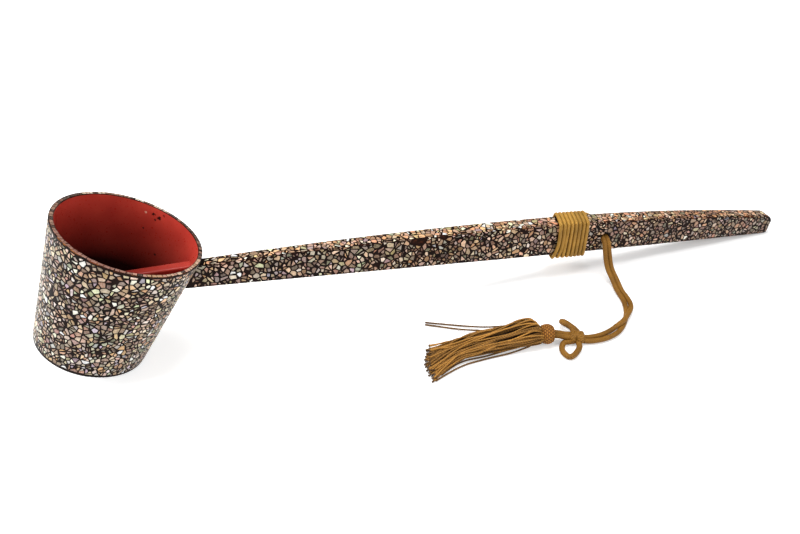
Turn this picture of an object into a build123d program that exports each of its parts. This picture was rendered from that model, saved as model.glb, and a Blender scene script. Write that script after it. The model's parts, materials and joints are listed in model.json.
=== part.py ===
"""Water dipper: a tapered cup on a long bar handle, both coated with chip-set lacquer.

The dipper rests as it does on a table: the handle side of the foot edge and the tip of
the handle touch the surface, so the cup leans towards the handle. A cord is wound round
the handle, passes through a hole in it and ends in a bow and a tassel on the table.

Frame: millimetres, +Z up, +X towards the tip of the handle, Y = 0 is the plane of
symmetry of cup and handle, Z = 0 is the table, and the origin is the middle of the
dipper's footprint without its cord.
"""

import os
from math import asin, atan2, cos, hypot, pi, radians, sin, sqrt, tan

from build123d import *

os.makedirs("parts", exist_ok=True)

# Cup
mouth_diameter = 85.0
foot_diameter = 66.0
cup_height = 84.0
wood_wall = 1.7
foot_recess = 1.6
bottom_thickness = 4.0
bottom_groove = 0.6
foot_edge_round = 0.6
foot_lip_height = 1.4

# Coats
inlay_coat = 0.7
lining_coat = 0.35

# Rim plates
rim_plate_thickness = 0.6
rim_plate_width = 2.2
rim_plate_length = 2.1
rim_plate_gap = 0.5

# Handle, measured along its straight underside from where that line crosses the cup's axis
handle_rise = 22.87
handle_below_mouth = 45.6
handle_reach = 501.0
handle_crest_reach = 295.0
handle_shoulder_reach = 230.0
tang_reach = 46.0
crest_height = 25.8
tip_height = 16.0
tang_height = 8.8
shoulder_width = 11.7
tip_width = 10.6
tang_width = 5.8
tip_lower_round = 5.0
tip_upper_round = 8.0
tip_side_round = 2.6
handle_edge_round = 1.6
tip_corner_share = 0.45

# Places of the bar's cross-sections, as shares of its straight length and of its rounded tip
length_shares = (0, 0.2, 0.4, 0.6, 0.8, 1)
tip_shares = (0, 0.35, 0.6, 0.78, 0.9, 0.97, 1)

# Tang wedge
wedge_length = 6.0
wedge_height = 4.4
wedge_thick_end = 1.1
wedge_thin_end = 0.4

# Cord, thinner where it is drawn tight round the handle
cord_diameter = 2.9
tight_diameter = 2.6
turn_count = 8
turn_pitch = 3.14
winding_reach = 299.7
winding_seat = 0.15
cord_hole_reach = 341.6
cord_hole_height = 12.2
cord_hole_diameter = 6.4
strand_gap = 0.15
arc_share = 0.45

# Bow knot
knot_length = 9.6
knot_width = 8.4
knot_height = 7.2
knot_round = 1.2
knot_x = 56.6
knot_y = -75.8
knot_turn = -15.0

# Tassel
head_x = 41.8
head_y = -71.5
tassel_turn = 162.5
head_diameter = 13.4
head_length = 8.6
head_flat_diameter = 7.0
neck_diameter = 9.6
neck_length = 1.6
neck_round = 0.5
skirt_corner_share = 0.48

# Clearances
seat_clearance = 0.12
floor_clearance = 0.05

mouth_radius = mouth_diameter / 2
foot_radius = foot_diameter / 2
cord_radius = cord_diameter / 2
tight_radius = tight_diameter / 2
strand_pitch = cord_diameter + strand_gap


def cup_radius(height):
    """Outer radius of the coated cup at a height above the foot plane."""
    return foot_radius + (mouth_radius - foot_radius) * height / cup_height


# Resting pose: the ground touches the round of the foot edge and the round under the tip
rise = radians(handle_rise)
handle_height_on_axis = cup_height - handle_below_mouth
tip_round_reach = handle_reach - tip_lower_round
tip_round_out = tip_round_reach * cos(rise) - tip_lower_round * sin(rise)
tip_round_up = handle_height_on_axis + tip_round_reach * sin(rise) + tip_lower_round * cos(rise)
foot_round_out = foot_radius - foot_edge_round
span_out = tip_round_out - foot_round_out
span_up = tip_round_up - foot_edge_round
tilt = atan2(span_up, span_out) - asin((tip_lower_round - foot_edge_round) / hypot(span_out, span_up))
slope = tilt - rise


def table_place(out, up):
    """Place of a point of the cup's own section, before the move that centres the frame."""
    x = (out - foot_round_out) * cos(tilt) + (up - foot_edge_round) * sin(tilt)
    z = (up - foot_edge_round) * cos(tilt) - (out - foot_round_out) * sin(tilt) + foot_edge_round
    return x, z


bar_x, bar_z = table_place(0, handle_height_on_axis)
upper_round_reach = handle_reach - tip_upper_round
upper_round_height = tip_height - tip_upper_round
left_end = -2 * foot_round_out * cos(tilt) - foot_edge_round
right_end = bar_x + upper_round_reach * cos(slope) + upper_round_height * sin(slope) + tip_upper_round
centring = -(left_end + right_end) / 2

foot_x, foot_z = table_place(0, 0)
foot_centre = Vector(foot_x + centring, 0, foot_z)
cup_out = Vector(cos(tilt), 0, -sin(tilt))
cup_up = Vector(sin(tilt), 0, cos(tilt))
cup_section = Plane(origin=foot_centre, x_dir=cup_out, z_dir=(0, -1, 0))
cup_axis = Axis(foot_centre, cup_up)

bar_origin = Vector(bar_x + centring, 0, bar_z)
bar_along = Vector(cos(slope), 0, -sin(slope))
bar_up = Vector(sin(slope), 0, cos(slope))


def on_bar(along, side, up):
    """Point given along the bar, across it and above its underside line."""
    return bar_origin + bar_along * along + Vector(0, side, 0) + bar_up * up


def save(part, name):
    """Label a finished piece and write it."""
    part.label = name
    export_step(part, f"parts/{name}.step")


tip_start_reach = handle_reach - max(tip_lower_round, tip_upper_round, tip_side_round)


def bar_top(reach):
    """Height of the top of the bar: two long bows that meet level at the crest."""
    if reach < handle_crest_reach:
        share = (handle_crest_reach - reach) / (handle_crest_reach + tang_reach)
        return crest_height - (crest_height - tang_height) * share**2
    share = (reach - handle_crest_reach) / (handle_reach - handle_crest_reach)
    return crest_height - (crest_height - tip_height) * share**2


def bar_width(reach):
    """Width of the bar: an even taper to the shoulder, then a long bow to the tip."""
    taper = (shoulder_width - tang_width) / (handle_shoulder_reach + tang_reach)
    bow_reach = handle_reach - handle_shoulder_reach
    bow_depth = shoulder_width + taper * bow_reach - tip_width
    past_share = max(reach - handle_shoulder_reach, 0) / bow_reach
    return tang_width + taper * (reach + tang_reach) - bow_depth * past_share**2


def rounding(size, reach, inset):
    """How far a rounded corner of the tip has drawn in at this reach."""
    into = max(reach - (handle_reach - size), 0)
    return size - inset - sqrt(max((size - inset) ** 2 - into**2, 0))


def bar_section(reach, inset):
    """Cross-section of the bar, inset by the coat that covers it."""
    low = inset + rounding(tip_lower_round, reach, inset)
    high = bar_top(reach) - inset - rounding(tip_upper_round, reach, inset)
    width = bar_width(reach) - 2 * inset - 2 * rounding(tip_side_round, reach, inset)
    middle = on_bar(reach, 0, (low + high) / 2)
    corner = min(handle_edge_round - inset, tip_corner_share * min(width, high - low))
    with BuildSketch(Plane(origin=middle, x_dir=(0, 1, 0), z_dir=bar_along)) as section:
        RectangleRounded(width, high - low, corner)
    return section.sketch


def bar(inset, with_tip):
    """The bar with softened edges, from the end of the tang to where its tip is rounded."""
    straight_length = tip_start_reach + tang_reach
    with BuildPart() as solid:
        loft([bar_section(share * straight_length - tang_reach, inset) for share in length_shares])
        if with_tip:
            tip_length = handle_reach - tip_start_reach - inset
            loft([bar_section(tip_start_reach + share * tip_length, inset) for share in tip_shares])
    return solid.part


def ring_section(outer, inner, low, high):
    """Half section of a tapered ring; radii are pairs, at the foot and at the mouth."""

    def radius(pair, height):
        return pair[0] + (pair[1] - pair[0]) * height / cup_height

    with BuildSketch(cup_section) as section:
        with BuildLine():
            Polyline(
                (radius(inner, low), low),
                (radius(outer, low), low),
                (radius(outer, high), high),
                (radius(inner, high), high),
                close=True,
            )
        make_face()
    return section.sketch


wall_top = cup_height - rim_plate_thickness
wood_out = (foot_radius - inlay_coat, mouth_radius - inlay_coat)
wood_in = (wood_out[0] - wood_wall, wood_out[1] - wood_wall)
lining_in = (wood_in[0] - lining_coat, wood_in[1] - lining_coat)
bottom_top = foot_recess + bottom_thickness
groove_radius = cup_radius(foot_recess) - inlay_coat - wood_wall + bottom_groove

outer_radii = (foot_radius, mouth_radius)
no_radii = (0, 0)

full_bar = bar(0, True)
core_bar = bar(inlay_coat, True)
red_bar = bar(inlay_coat - lining_coat, False)
slot_bar = bar(inlay_coat - seat_clearance, False)

# Cutting shape: everything beyond the outside of the wooden wall, on the far side
with BuildPart() as beyond_far_wall:
    with BuildSketch(cup_section):
        with Locations((-mouth_diameter, cup_height / 2)):
            Rectangle(2 * mouth_diameter, 2 * cup_height)
    extrude(amount=mouth_radius, both=True)
    revolve(
        ring_section(wood_out, no_radii, -cup_height / 2, 1.5 * cup_height),
        axis=cup_axis,
        mode=Mode.SUBTRACT,
    )

# Cutting shape: the space inside the coated outside of the cup
grown_radii = (foot_radius + seat_clearance / 2, mouth_radius + seat_clearance / 2)
with BuildPart() as inside_coated_cup:
    revolve(ring_section(grown_radii, no_radii, 0, cup_height), axis=cup_axis)

# Cutting shape: the space inside the red lining
shrunk_radii = (lining_in[0] - seat_clearance / 2, lining_in[1] - seat_clearance / 2)
with BuildPart() as inside_lining:
    revolve(ring_section(shrunk_radii, no_radii, 0, cup_height), axis=cup_axis)

# Cup wall: wooden, with a full-width lip at the foot and a groove for the bottom
with BuildPart() as cup_wall:
    revolve(ring_section(wood_out, wood_in, 0, wall_top), axis=cup_axis)
    revolve(ring_section(outer_radii, wood_in, 0, foot_lip_height), axis=cup_axis)
    with BuildSketch(cup_section):
        with Locations((0, foot_recess)):
            Rectangle(groove_radius, bottom_thickness, align=(Align.MIN, Align.MIN))
    revolve(axis=cup_axis, mode=Mode.SUBTRACT)
    foot_edges = [
        edge
        for edge in edges().filter_by(GeomType.CIRCLE)
        if abs(edge.radius - foot_radius) < foot_edge_round / 10
    ]
    fillet(foot_edges, foot_edge_round)
    add(slot_bar, mode=Mode.SUBTRACT)
save(cup_wall.part, "cup_wall")

# Cup bottom: wooden disc in the groove of the wall
with BuildPart() as cup_bottom:
    with BuildSketch(Plane(foot_centre + cup_up * foot_recess, x_dir=cup_out, z_dir=cup_up)):
        Circle(groove_radius - seat_clearance / 2)
    extrude(amount=bottom_thickness)
save(cup_bottom.part, "cup_bottom")

# Inlay skin of the cup, from the foot lip to the rim
with BuildPart() as cup_inlay_skin:
    revolve(ring_section(outer_radii, wood_out, foot_lip_height, wall_top), axis=cup_axis)
    add(slot_bar, mode=Mode.SUBTRACT)
save(cup_inlay_skin.part, "cup_inlay_skin")

# Red lining: a coat on the wall and on the bottom
with BuildPart() as cup_lining:
    revolve(ring_section(wood_in, lining_in, bottom_top, wall_top), axis=cup_axis)
    revolve(
        ring_section(wood_in, no_radii, bottom_top, bottom_top + lining_coat), axis=cup_axis
    )
    add(slot_bar, mode=Mode.SUBTRACT)
save(cup_lining.part, "cup_lining")

# Rim plates: separate narrow plates round the top of the wall
rim_middle = cup_radius(wall_top) - (inlay_coat + wood_wall + lining_coat) / 2
plate_count = round(2 * pi * rim_middle / (rim_plate_length + rim_plate_gap))
with BuildPart() as rim_plates:
    with BuildSketch(Plane(foot_centre + cup_up * wall_top, x_dir=cup_out, z_dir=cup_up)):
        with PolarLocations(rim_middle, plate_count):
            Rectangle(rim_plate_width, rim_plate_length)
    extrude(amount=rim_plate_thickness)
save(rim_plates.part, "rim_plates")

# Wedge seat and wedge, in the end grain of the tang where it fills the far wall
far_wall_reach = (cup_radius(handle_height_on_axis / 2) - inlay_coat) / cos(rise)
wedge_plane = Plane(
    origin=on_bar(0, 0, (tang_height - wedge_height) / 2), x_dir=bar_along, z_dir=bar_up
)


def wedge_outline(grow):
    """Top view of the wedge, thick at the outer end of the tang."""
    with BuildSketch(wedge_plane) as outline:
        with BuildLine():
            Polyline(
                (-tang_reach, -wedge_thick_end / 2 - grow),
                (wedge_length + grow - far_wall_reach, -wedge_thin_end / 2 - grow),
                (wedge_length + grow - far_wall_reach, wedge_thin_end / 2 + grow),
                (-tang_reach, wedge_thick_end / 2 + grow),
                close=True,
            )
        make_face()
    return outline.sketch


with BuildPart() as tang_wedge:
    extrude(wedge_outline(0), amount=wedge_height)
    add(beyond_far_wall.part, mode=Mode.SUBTRACT)
save(tang_wedge.part, "tang_wedge")

# Cord hole through the handle
hole_plane = Plane(
    origin=on_bar(cord_hole_reach, 0, cord_hole_height), x_dir=bar_along, z_dir=(0, -1, 0)
)
with BuildPart() as cord_hole:
    with BuildSketch(hole_plane):
        Circle(cord_hole_diameter / 2)
    extrude(amount=shoulder_width, both=True)

# Handle core: wooden bar from the far wall of the cup to the tip
with BuildPart() as handle_core:
    add(core_bar)
    add(beyond_far_wall.part, mode=Mode.SUBTRACT)
    extrude(wedge_outline(seat_clearance / 2), amount=wedge_height, mode=Mode.SUBTRACT)
    add(cord_hole.part, mode=Mode.SUBTRACT)
save(handle_core.part, "handle_core")

# Inlay skin of the handle, from the cup to the tip
with BuildPart() as handle_inlay_skin:
    add(full_bar)
    add(core_bar, mode=Mode.SUBTRACT)
    add(inside_coated_cup.part, mode=Mode.SUBTRACT)
    add(beyond_far_wall.part, mode=Mode.SUBTRACT)
    add(cord_hole.part, mode=Mode.SUBTRACT)
save(handle_inlay_skin.part, "handle_inlay_skin")

# Red coat of the tang, between the two walls
with BuildPart() as tang_coat:
    add(red_bar)
    add(core_bar, mode=Mode.SUBTRACT)
    add(inside_lining.part, mode=Mode.INTERSECT)
save(tang_coat.part, "tang_coat")


# Cord: routes are points chosen by hand, joined by straight runs and tangent arcs


def tube(name, points, tube_radius=cord_radius, radii=None):
    """A tube of cord along straight runs joined by tangent arcs; prints the arcs' radii."""
    places = [Vector(*point) for point in points]
    runs = [after - before for before, after in zip(places, places[1:])]
    if radii is None:
        radii = [
            arc_share * min(first.length, second.length)
            / tan(radians(first.get_angle(second)) / 2)
            for first, second in zip(runs, runs[1:])
        ]
    with BuildPart() as solid:
        with BuildLine() as route:
            FilletPolyline(*places, radius=radii)
        with BuildSketch(Plane(origin=route.wire() @ 0, z_dir=route.wire() % 0)):
            Circle(tube_radius)
        sweep()
    wire = route.wire()
    length = wire.length
    share = solid.part.volume / (pi * tube_radius**2 * length)
    print(f"{name}: length {length:.1f}, volume share {share:.4f}")
    print("  radii", " ".join(f"{radius:.1f}" for radius in radii))
    return solid.part, wire


# Winding: one unbroken tube, wound from the back of the handle round its top to the front
lift = winding_seat + tight_radius
side_out = bar_width(handle_crest_reach) / 2 + lift
start_height = crest_height / 2
winding_points = [on_bar(winding_reach, side_out, start_height)]
for turn in range(turn_count):
    for quarter in range(4):
        along = winding_reach + turn_pitch * (turn + (quarter + 0.5) / 4)
        side = side_out if quarter in (0, 3) else -side_out
        up = bar_top(along) + lift if quarter in (0, 1) else -lift
        winding_points.append(on_bar(along, side, up))
winding_end = winding_reach + turn_pitch * turn_count
winding_points.append(on_bar(winding_end, side_out, start_height))
corner_round = handle_edge_round + lift
cord_winding, winding_line = tube(
    "cord_winding", winding_points, tight_radius, [corner_round] * (4 * turn_count)
)
sample_count = 160 * turn_count
samples = [winding_line @ (index / sample_count) for index in range(sample_count + 1)]
step = winding_line.length / sample_count
skip = round(4 * tight_diameter / step)
least = min(
    (samples[i] - samples[j]).length
    for i in range(0, sample_count, 2)
    for j in range(i + skip, min(i + skip + 3 * sample_count // (2 * turn_count), sample_count))
)
print(f"cord_winding: least gap to itself {least - tight_diameter:.2f}")
save(cord_winding, "cord_winding")

# The two links on the back of the handle, from the winding's ends into the cord hole
half_pitch = strand_pitch / 2
end_run = (winding_points[-1] - winding_points[-2]).normalized()
start_run = (winding_points[1] - winding_points[0]).normalized()
direct_points = [
    winding_points[-1],
    winding_points[-1] + end_run * 4.4,
    on_bar(329.8, 8.6, 19.2),
    on_bar(335.6, 9.8, 16.2),
    on_bar(cord_hole_reach - half_pitch, 10.8, cord_hole_height),
    on_bar(cord_hole_reach - half_pitch, 0, cord_hole_height),
]
save(tube("cord_link_direct", direct_points, tight_radius)[0], "cord_link_direct")

over_points = [
    winding_points[0],
    winding_points[0] - start_run * 4.0,
    on_bar(298.6, 10.6, 4.6),
    on_bar(302.6, 11.8, 2.2),
    on_bar(307.4, 11.6, 6.0),
    on_bar(311.8, 11.3, 12.4),
    on_bar(315.4, 11.0, 18.6),
    on_bar(319.8, 10.7, 23.4),
    on_bar(325.4, 10.5, 24.6),
    on_bar(331.8, 10.2, 23.0),
    on_bar(338.0, 10.4, 20.2),
    on_bar(342.8, 11.0, 17.0),
    on_bar(cord_hole_reach + half_pitch, 10.8, cord_hole_height),
    on_bar(cord_hole_reach + half_pitch, 0, cord_hole_height),
]
save(tube("cord_link_over", over_points, tight_radius)[0], "cord_link_over")

# Bow: the knot's body, turned to face along the cord
knot_along = Vector(cos(radians(knot_turn)), sin(radians(knot_turn)), 0)
knot_across = Vector(-sin(radians(knot_turn)), cos(radians(knot_turn)), 0)
knot_end = knot_length / 2
knot_side = knot_width / 2


def on_knot(along, across, height):
    """Point given along the knot from its middle, across it and above the table."""
    middle = Vector(knot_x, knot_y, height)
    return middle + knot_along * along + knot_across * across


with BuildPart() as bow_knot:
    knot_middle = on_knot(0, 0, floor_clearance + knot_height / 2)
    with Locations(Plane(origin=knot_middle, x_dir=knot_along, z_dir=(0, 0, 1))):
        Box(knot_length, knot_width, knot_height)
    fillet(bow_knot.edges(), knot_round)
save(bow_knot.part, "bow_knot")

# The two strands from the cord hole down to the table, across each other and to the knot
table_height = cord_radius + floor_clearance
strand_left_points = [
    on_bar(cord_hole_reach - half_pitch, 0, cord_hole_height),
    on_bar(cord_hole_reach - half_pitch, -8.4, cord_hole_height),
    (111.0, -16.4, 18.7),
    (111.0, -21.8, 10.2),
    (112.7, -28.8, 4.0),
    (110.6, -38.6, table_height),
    (108.5, -48.6, table_height),
    (104.8, -57.6, table_height),
    (100.7, -64.7, table_height),
    (95.8, -71.4, table_height),
    (89.6, -76.5, table_height),
    (83.5, -79.4, table_height),
    (75.4, -81.2, table_height),
    on_knot(10.3, -2.1, 2.2),
    on_knot(knot_end, -2.1, 2.2),
]
save(tube("cord_strand_left", strand_left_points)[0], "cord_strand_left")

strand_right_points = [
    on_bar(cord_hole_reach + half_pitch, 0, cord_hole_height),
    on_bar(cord_hole_reach + half_pitch, -8.4, cord_hole_height),
    (114.6, -16.4, 18.0),
    (114.4, -21.8, 9.8),
    (115.9, -29.8, 4.1),
    (114.3, -39.8, table_height),
    (112.9, -49.6, table_height),
    (109.4, -57.4, 1.8),
    (102.6, -65.3, 4.6),
    (95.2, -71.2, 4.8),
    (89.2, -72.6, 3.8),
    (82.0, -74.7, table_height),
    (74.2, -77.0, table_height),
    on_knot(10.3, 0.95, 2.2),
    on_knot(knot_end, 0.95, 2.2),
]
save(tube("cord_strand_right", strand_right_points)[0], "cord_strand_right")

# The bow's two loops
loop_front_points = [
    on_knot(-knot_end, -2.7, 2.2),
    on_knot(-knot_end - 4.0, -2.7, 2.2),
    (43.6, -79.6, table_height),
    (41.6, -84.8, table_height),
    (43.4, -91.0, table_height),
    (49.4, -89.3, table_height),
    on_knot(0.6, -knot_side - 3.8, 2.2),
    on_knot(0.6, -knot_side, 2.2),
]
save(tube("bow_loop_front", loop_front_points)[0], "bow_loop_front")

loop_back_points = [
    on_knot(2.6, knot_side, 2.2),
    on_knot(2.6, knot_side + 4.0, 2.2),
    (58.0, -57.6, table_height),
    (53.4, -59.2, 5.6),
    on_knot(-1.4, knot_side + 4.0, 5.4),
    on_knot(-1.4, knot_side, 5.4),
]
save(tube("bow_loop_back", loop_back_points)[0], "bow_loop_back")

# Tassel: its axis points away from the bow, level with the table
turn = radians(tassel_turn)
tassel_along = Vector(cos(turn), sin(turn), 0)
tassel_across = Vector(-sin(turn), cos(turn), 0)
head_start = Vector(head_x, head_y, floor_clearance + head_diameter / 2)
head_section = Plane(origin=head_start, x_dir=tassel_along, z_dir=tassel_across)

short_left_points = [
    on_knot(-knot_end, 2.0, 4.9),
    on_knot(-knot_end - 3.0, 2.0, 4.9),
    head_start - tassel_along * 3.0 - tassel_across * half_pitch,
    head_start - tassel_across * half_pitch,
]
save(tube("tassel_cord_left", short_left_points)[0], "tassel_cord_left")

short_right_points = [
    on_knot(-knot_end, -1.05, 4.9),
    on_knot(-knot_end - 3.0, -1.05, 4.9),
    head_start - tassel_along * 3.0 + tassel_across * half_pitch,
    head_start + tassel_across * half_pitch,
]
save(tube("tassel_cord_right", short_right_points)[0], "tassel_cord_right")

with BuildPart() as tassel_head:
    with BuildSketch(head_section):
        with BuildLine():
            Line((0, 0), (0, head_flat_diameter / 2))
            ThreePointArc(
                (0, head_flat_diameter / 2),
                (head_length / 2, head_diameter / 2),
                (head_length, neck_diameter / 2),
            )
            Line((head_length, neck_diameter / 2), (head_length, 0))
            Line((head_length, 0), (0, 0))
        make_face()
    revolve(axis=Axis(head_start, tassel_along))
save(tassel_head.part, "tassel_head")

with BuildPart() as tassel_neck:
    with BuildSketch(
        Plane(
            origin=head_start + tassel_along * head_length, x_dir=tassel_across, z_dir=tassel_along
        )
    ):
        Circle(neck_diameter / 2)
    extrude(amount=neck_length)
    fillet(tassel_neck.edges().filter_by(GeomType.CIRCLE), neck_round)
save(tassel_neck.part, "tassel_neck")

# Skirt: cross-sections as (x, y, width, height), each resting on the table
skirt_start = head_start + tassel_along * (head_length + neck_length)
skirt_sections = [
    (25.5, -66.0, 20.6, 17.2),
    (14.0, -64.6, 20.8, 15.8),
    (1.0, -63.3, 20.0, 13.4),
    (-10.5, -62.4, 20.2, 11.0),
    (-23.0, -63.6, 22.0, 8.4),
    (-33.0, -65.4, 27.0, 6.4),
    (-42.5, -66.6, 33.0, 5.0),
]
with BuildPart() as tassel_skirt:
    with BuildSketch(Plane(origin=skirt_start, x_dir=tassel_across * -1, z_dir=tassel_along * -1)):
        RectangleRounded(neck_diameter, neck_diameter, skirt_corner_share * neck_diameter)
    for x, y, width, height in skirt_sections:
        with BuildSketch(
            Plane(origin=(x, y, floor_clearance + height / 2), x_dir=(0, 1, 0), z_dir=(1, 0, 0))
        ):
            RectangleRounded(width, height, skirt_corner_share * height)
    loft()
save(tassel_skirt.part, "tassel_skirt")
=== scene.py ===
"""Looks of the water dipper: chip-set lacquer, red lining, wound cord, bow and tassel."""

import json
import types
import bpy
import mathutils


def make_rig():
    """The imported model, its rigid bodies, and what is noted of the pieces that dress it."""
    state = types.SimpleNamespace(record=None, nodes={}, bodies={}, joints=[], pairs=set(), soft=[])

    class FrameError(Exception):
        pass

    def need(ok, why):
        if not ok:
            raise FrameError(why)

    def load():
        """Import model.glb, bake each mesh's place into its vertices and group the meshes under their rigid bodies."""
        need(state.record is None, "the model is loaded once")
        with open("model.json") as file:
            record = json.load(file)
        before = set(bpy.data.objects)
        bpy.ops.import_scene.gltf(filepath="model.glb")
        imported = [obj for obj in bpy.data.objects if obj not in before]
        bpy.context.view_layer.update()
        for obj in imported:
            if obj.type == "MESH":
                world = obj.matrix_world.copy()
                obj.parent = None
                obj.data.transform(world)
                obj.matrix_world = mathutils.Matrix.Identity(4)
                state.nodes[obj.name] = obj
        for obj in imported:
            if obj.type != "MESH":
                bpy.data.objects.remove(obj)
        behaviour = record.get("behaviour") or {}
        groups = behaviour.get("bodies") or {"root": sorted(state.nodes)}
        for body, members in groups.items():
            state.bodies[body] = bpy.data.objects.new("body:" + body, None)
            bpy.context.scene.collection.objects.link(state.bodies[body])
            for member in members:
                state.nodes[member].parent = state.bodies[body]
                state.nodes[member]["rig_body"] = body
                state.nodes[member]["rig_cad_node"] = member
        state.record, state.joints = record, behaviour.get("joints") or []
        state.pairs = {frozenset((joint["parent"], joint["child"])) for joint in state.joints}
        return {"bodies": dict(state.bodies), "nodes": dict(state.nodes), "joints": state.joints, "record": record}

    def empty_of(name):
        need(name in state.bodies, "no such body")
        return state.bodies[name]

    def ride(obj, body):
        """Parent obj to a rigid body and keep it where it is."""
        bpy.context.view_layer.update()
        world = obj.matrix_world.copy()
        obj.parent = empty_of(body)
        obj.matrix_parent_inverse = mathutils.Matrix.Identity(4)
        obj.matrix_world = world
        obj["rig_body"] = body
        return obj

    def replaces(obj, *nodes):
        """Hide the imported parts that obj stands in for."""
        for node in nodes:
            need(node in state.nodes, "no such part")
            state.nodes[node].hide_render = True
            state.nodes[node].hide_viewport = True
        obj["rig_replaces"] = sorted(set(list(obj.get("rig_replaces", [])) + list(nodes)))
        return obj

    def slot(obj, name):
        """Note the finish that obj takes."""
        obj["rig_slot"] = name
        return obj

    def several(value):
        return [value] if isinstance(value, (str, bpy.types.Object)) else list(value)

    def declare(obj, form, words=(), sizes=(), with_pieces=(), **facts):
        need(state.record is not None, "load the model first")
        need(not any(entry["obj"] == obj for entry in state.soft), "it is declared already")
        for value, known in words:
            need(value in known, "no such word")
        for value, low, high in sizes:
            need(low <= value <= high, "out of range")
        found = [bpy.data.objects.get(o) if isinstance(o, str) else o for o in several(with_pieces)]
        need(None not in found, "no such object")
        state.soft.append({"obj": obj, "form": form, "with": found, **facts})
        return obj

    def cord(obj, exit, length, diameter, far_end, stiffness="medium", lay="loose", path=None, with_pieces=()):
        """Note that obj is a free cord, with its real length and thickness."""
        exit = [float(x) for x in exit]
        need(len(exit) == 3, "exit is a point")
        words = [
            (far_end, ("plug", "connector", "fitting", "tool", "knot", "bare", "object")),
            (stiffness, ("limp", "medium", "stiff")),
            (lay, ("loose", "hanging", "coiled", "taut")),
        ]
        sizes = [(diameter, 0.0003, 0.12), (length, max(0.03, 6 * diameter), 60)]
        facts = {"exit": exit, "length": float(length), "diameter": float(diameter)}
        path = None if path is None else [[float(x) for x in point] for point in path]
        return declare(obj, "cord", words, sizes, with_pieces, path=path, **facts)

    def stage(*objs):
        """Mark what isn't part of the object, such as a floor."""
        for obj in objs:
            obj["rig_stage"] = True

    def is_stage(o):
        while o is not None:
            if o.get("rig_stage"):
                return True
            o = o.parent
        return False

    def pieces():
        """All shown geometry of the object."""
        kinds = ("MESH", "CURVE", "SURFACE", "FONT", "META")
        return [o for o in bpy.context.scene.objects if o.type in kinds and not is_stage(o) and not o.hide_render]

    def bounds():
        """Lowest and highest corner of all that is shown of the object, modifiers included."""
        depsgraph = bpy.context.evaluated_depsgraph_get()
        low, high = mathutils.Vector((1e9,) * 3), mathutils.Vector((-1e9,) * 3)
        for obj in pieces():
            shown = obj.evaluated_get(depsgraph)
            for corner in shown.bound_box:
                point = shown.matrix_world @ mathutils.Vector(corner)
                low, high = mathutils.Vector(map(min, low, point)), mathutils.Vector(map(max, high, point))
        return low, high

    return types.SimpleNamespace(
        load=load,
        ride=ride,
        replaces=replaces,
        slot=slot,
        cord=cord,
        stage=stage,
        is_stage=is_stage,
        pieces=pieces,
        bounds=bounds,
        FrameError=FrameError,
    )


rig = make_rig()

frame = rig.load()

import json
from math import cos, degrees, exp, hypot, pi, radians, sin, sqrt
from random import Random

import bmesh
import bpy
from mathutils import Matrix, Vector

cad_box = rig.bounds()

MM = 0.001
BODY = "root"

# The cup's own axes and the bar's, in millimetres, as the CAD model has them
FOOT_CENTRE = Vector((-244.477, 0, 15.568))
CUP_OUT = Vector((0.878229, 0, -0.47824))
CUP_UP = Vector((0.47824, 0, 0.878229))
BAR_ORIGIN = Vector((-226.112, 0, 49.292))
BAR_ALONG = Vector((0.995055, 0, -0.099329))
BAR_UP = Vector((0.099329, 0, 0.995055))
ACROSS = Vector((0, 1, 0))

# Sizes in millimetres; a reach is measured along the bar from the middle of the cup
FOOT_RADIUS = 33.0
MOUTH_RADIUS = 42.5
CUP_HEIGHT = 84.0
WALL_TOP = 83.4
LINING_RADIUS_AT_MOUTH = 39.75
HANDLE_REACH = 501.0
CREST_REACH = 295.0
SHOULDER_REACH = 230.0
TANG_REACH = 46.0
CREST_HEIGHT = 25.8
TIP_HEIGHT = 16.0
TANG_HEIGHT = 8.8
SHOULDER_WIDTH = 11.7
TIP_WIDTH = 10.6
TANG_WIDTH = 5.8
TIP_LOWER_ROUND = 3.6
TIP_UPPER_ROUND = 8.0
TIP_SIDE_ROUND = 2.6
EDGE_ROUND = 1.6
TIP_SHARES = (0.2, 0.38, 0.53, 0.66, 0.77, 0.86, 0.93, 0.97, 0.99, 0.999)
HOLE_REACH = 341.6
HOLE_HEIGHT = 12.2
HOLE_RADIUS = 3.1
CORD_RADIUS = 1.75
LOOP_RADIUS = 1.9
TIGHT_RADIUS = 1.24


def on_bar(along, side, up):
    """Point in metres, given in millimetres along the bar, across it and above its underside."""
    return (BAR_ORIGIN + BAR_ALONG * along + Vector((0, side, 0)) + BAR_UP * up) * MM


def bar_place(point):
    """(along, side, up) in millimetres of a point in metres."""
    away = point / MM - BAR_ORIGIN
    return away.dot(BAR_ALONG), away.y, away.dot(BAR_UP)


def bar_top(reach):
    if reach < CREST_REACH:
        share = (CREST_REACH - reach) / (CREST_REACH + TANG_REACH)
        return CREST_HEIGHT - (CREST_HEIGHT - TANG_HEIGHT) * share**2
    share = (reach - CREST_REACH) / (HANDLE_REACH - CREST_REACH)
    return CREST_HEIGHT - (CREST_HEIGHT - TIP_HEIGHT) * share**2


def bar_width(reach):
    taper = (SHOULDER_WIDTH - TANG_WIDTH) / (SHOULDER_REACH + TANG_REACH)
    bow_reach = HANDLE_REACH - SHOULDER_REACH
    bow_depth = SHOULDER_WIDTH + taper * bow_reach - TIP_WIDTH
    past_share = max(reach - SHOULDER_REACH, 0) / bow_reach
    return TANG_WIDTH + taper * (reach + TANG_REACH) - bow_depth * past_share**2


def rounding(size, reach):
    into = min(max(reach - (HANDLE_REACH - size), 0), size)
    return size - sqrt(size**2 - into**2)


def bar_low(reach):
    return rounding(TIP_LOWER_ROUND, reach)


def bar_high(reach):
    return bar_top(reach) - rounding(TIP_UPPER_ROUND, reach)


def bar_half_width(reach):
    return bar_width(reach) / 2 - rounding(TIP_SIDE_ROUND, reach)


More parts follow.
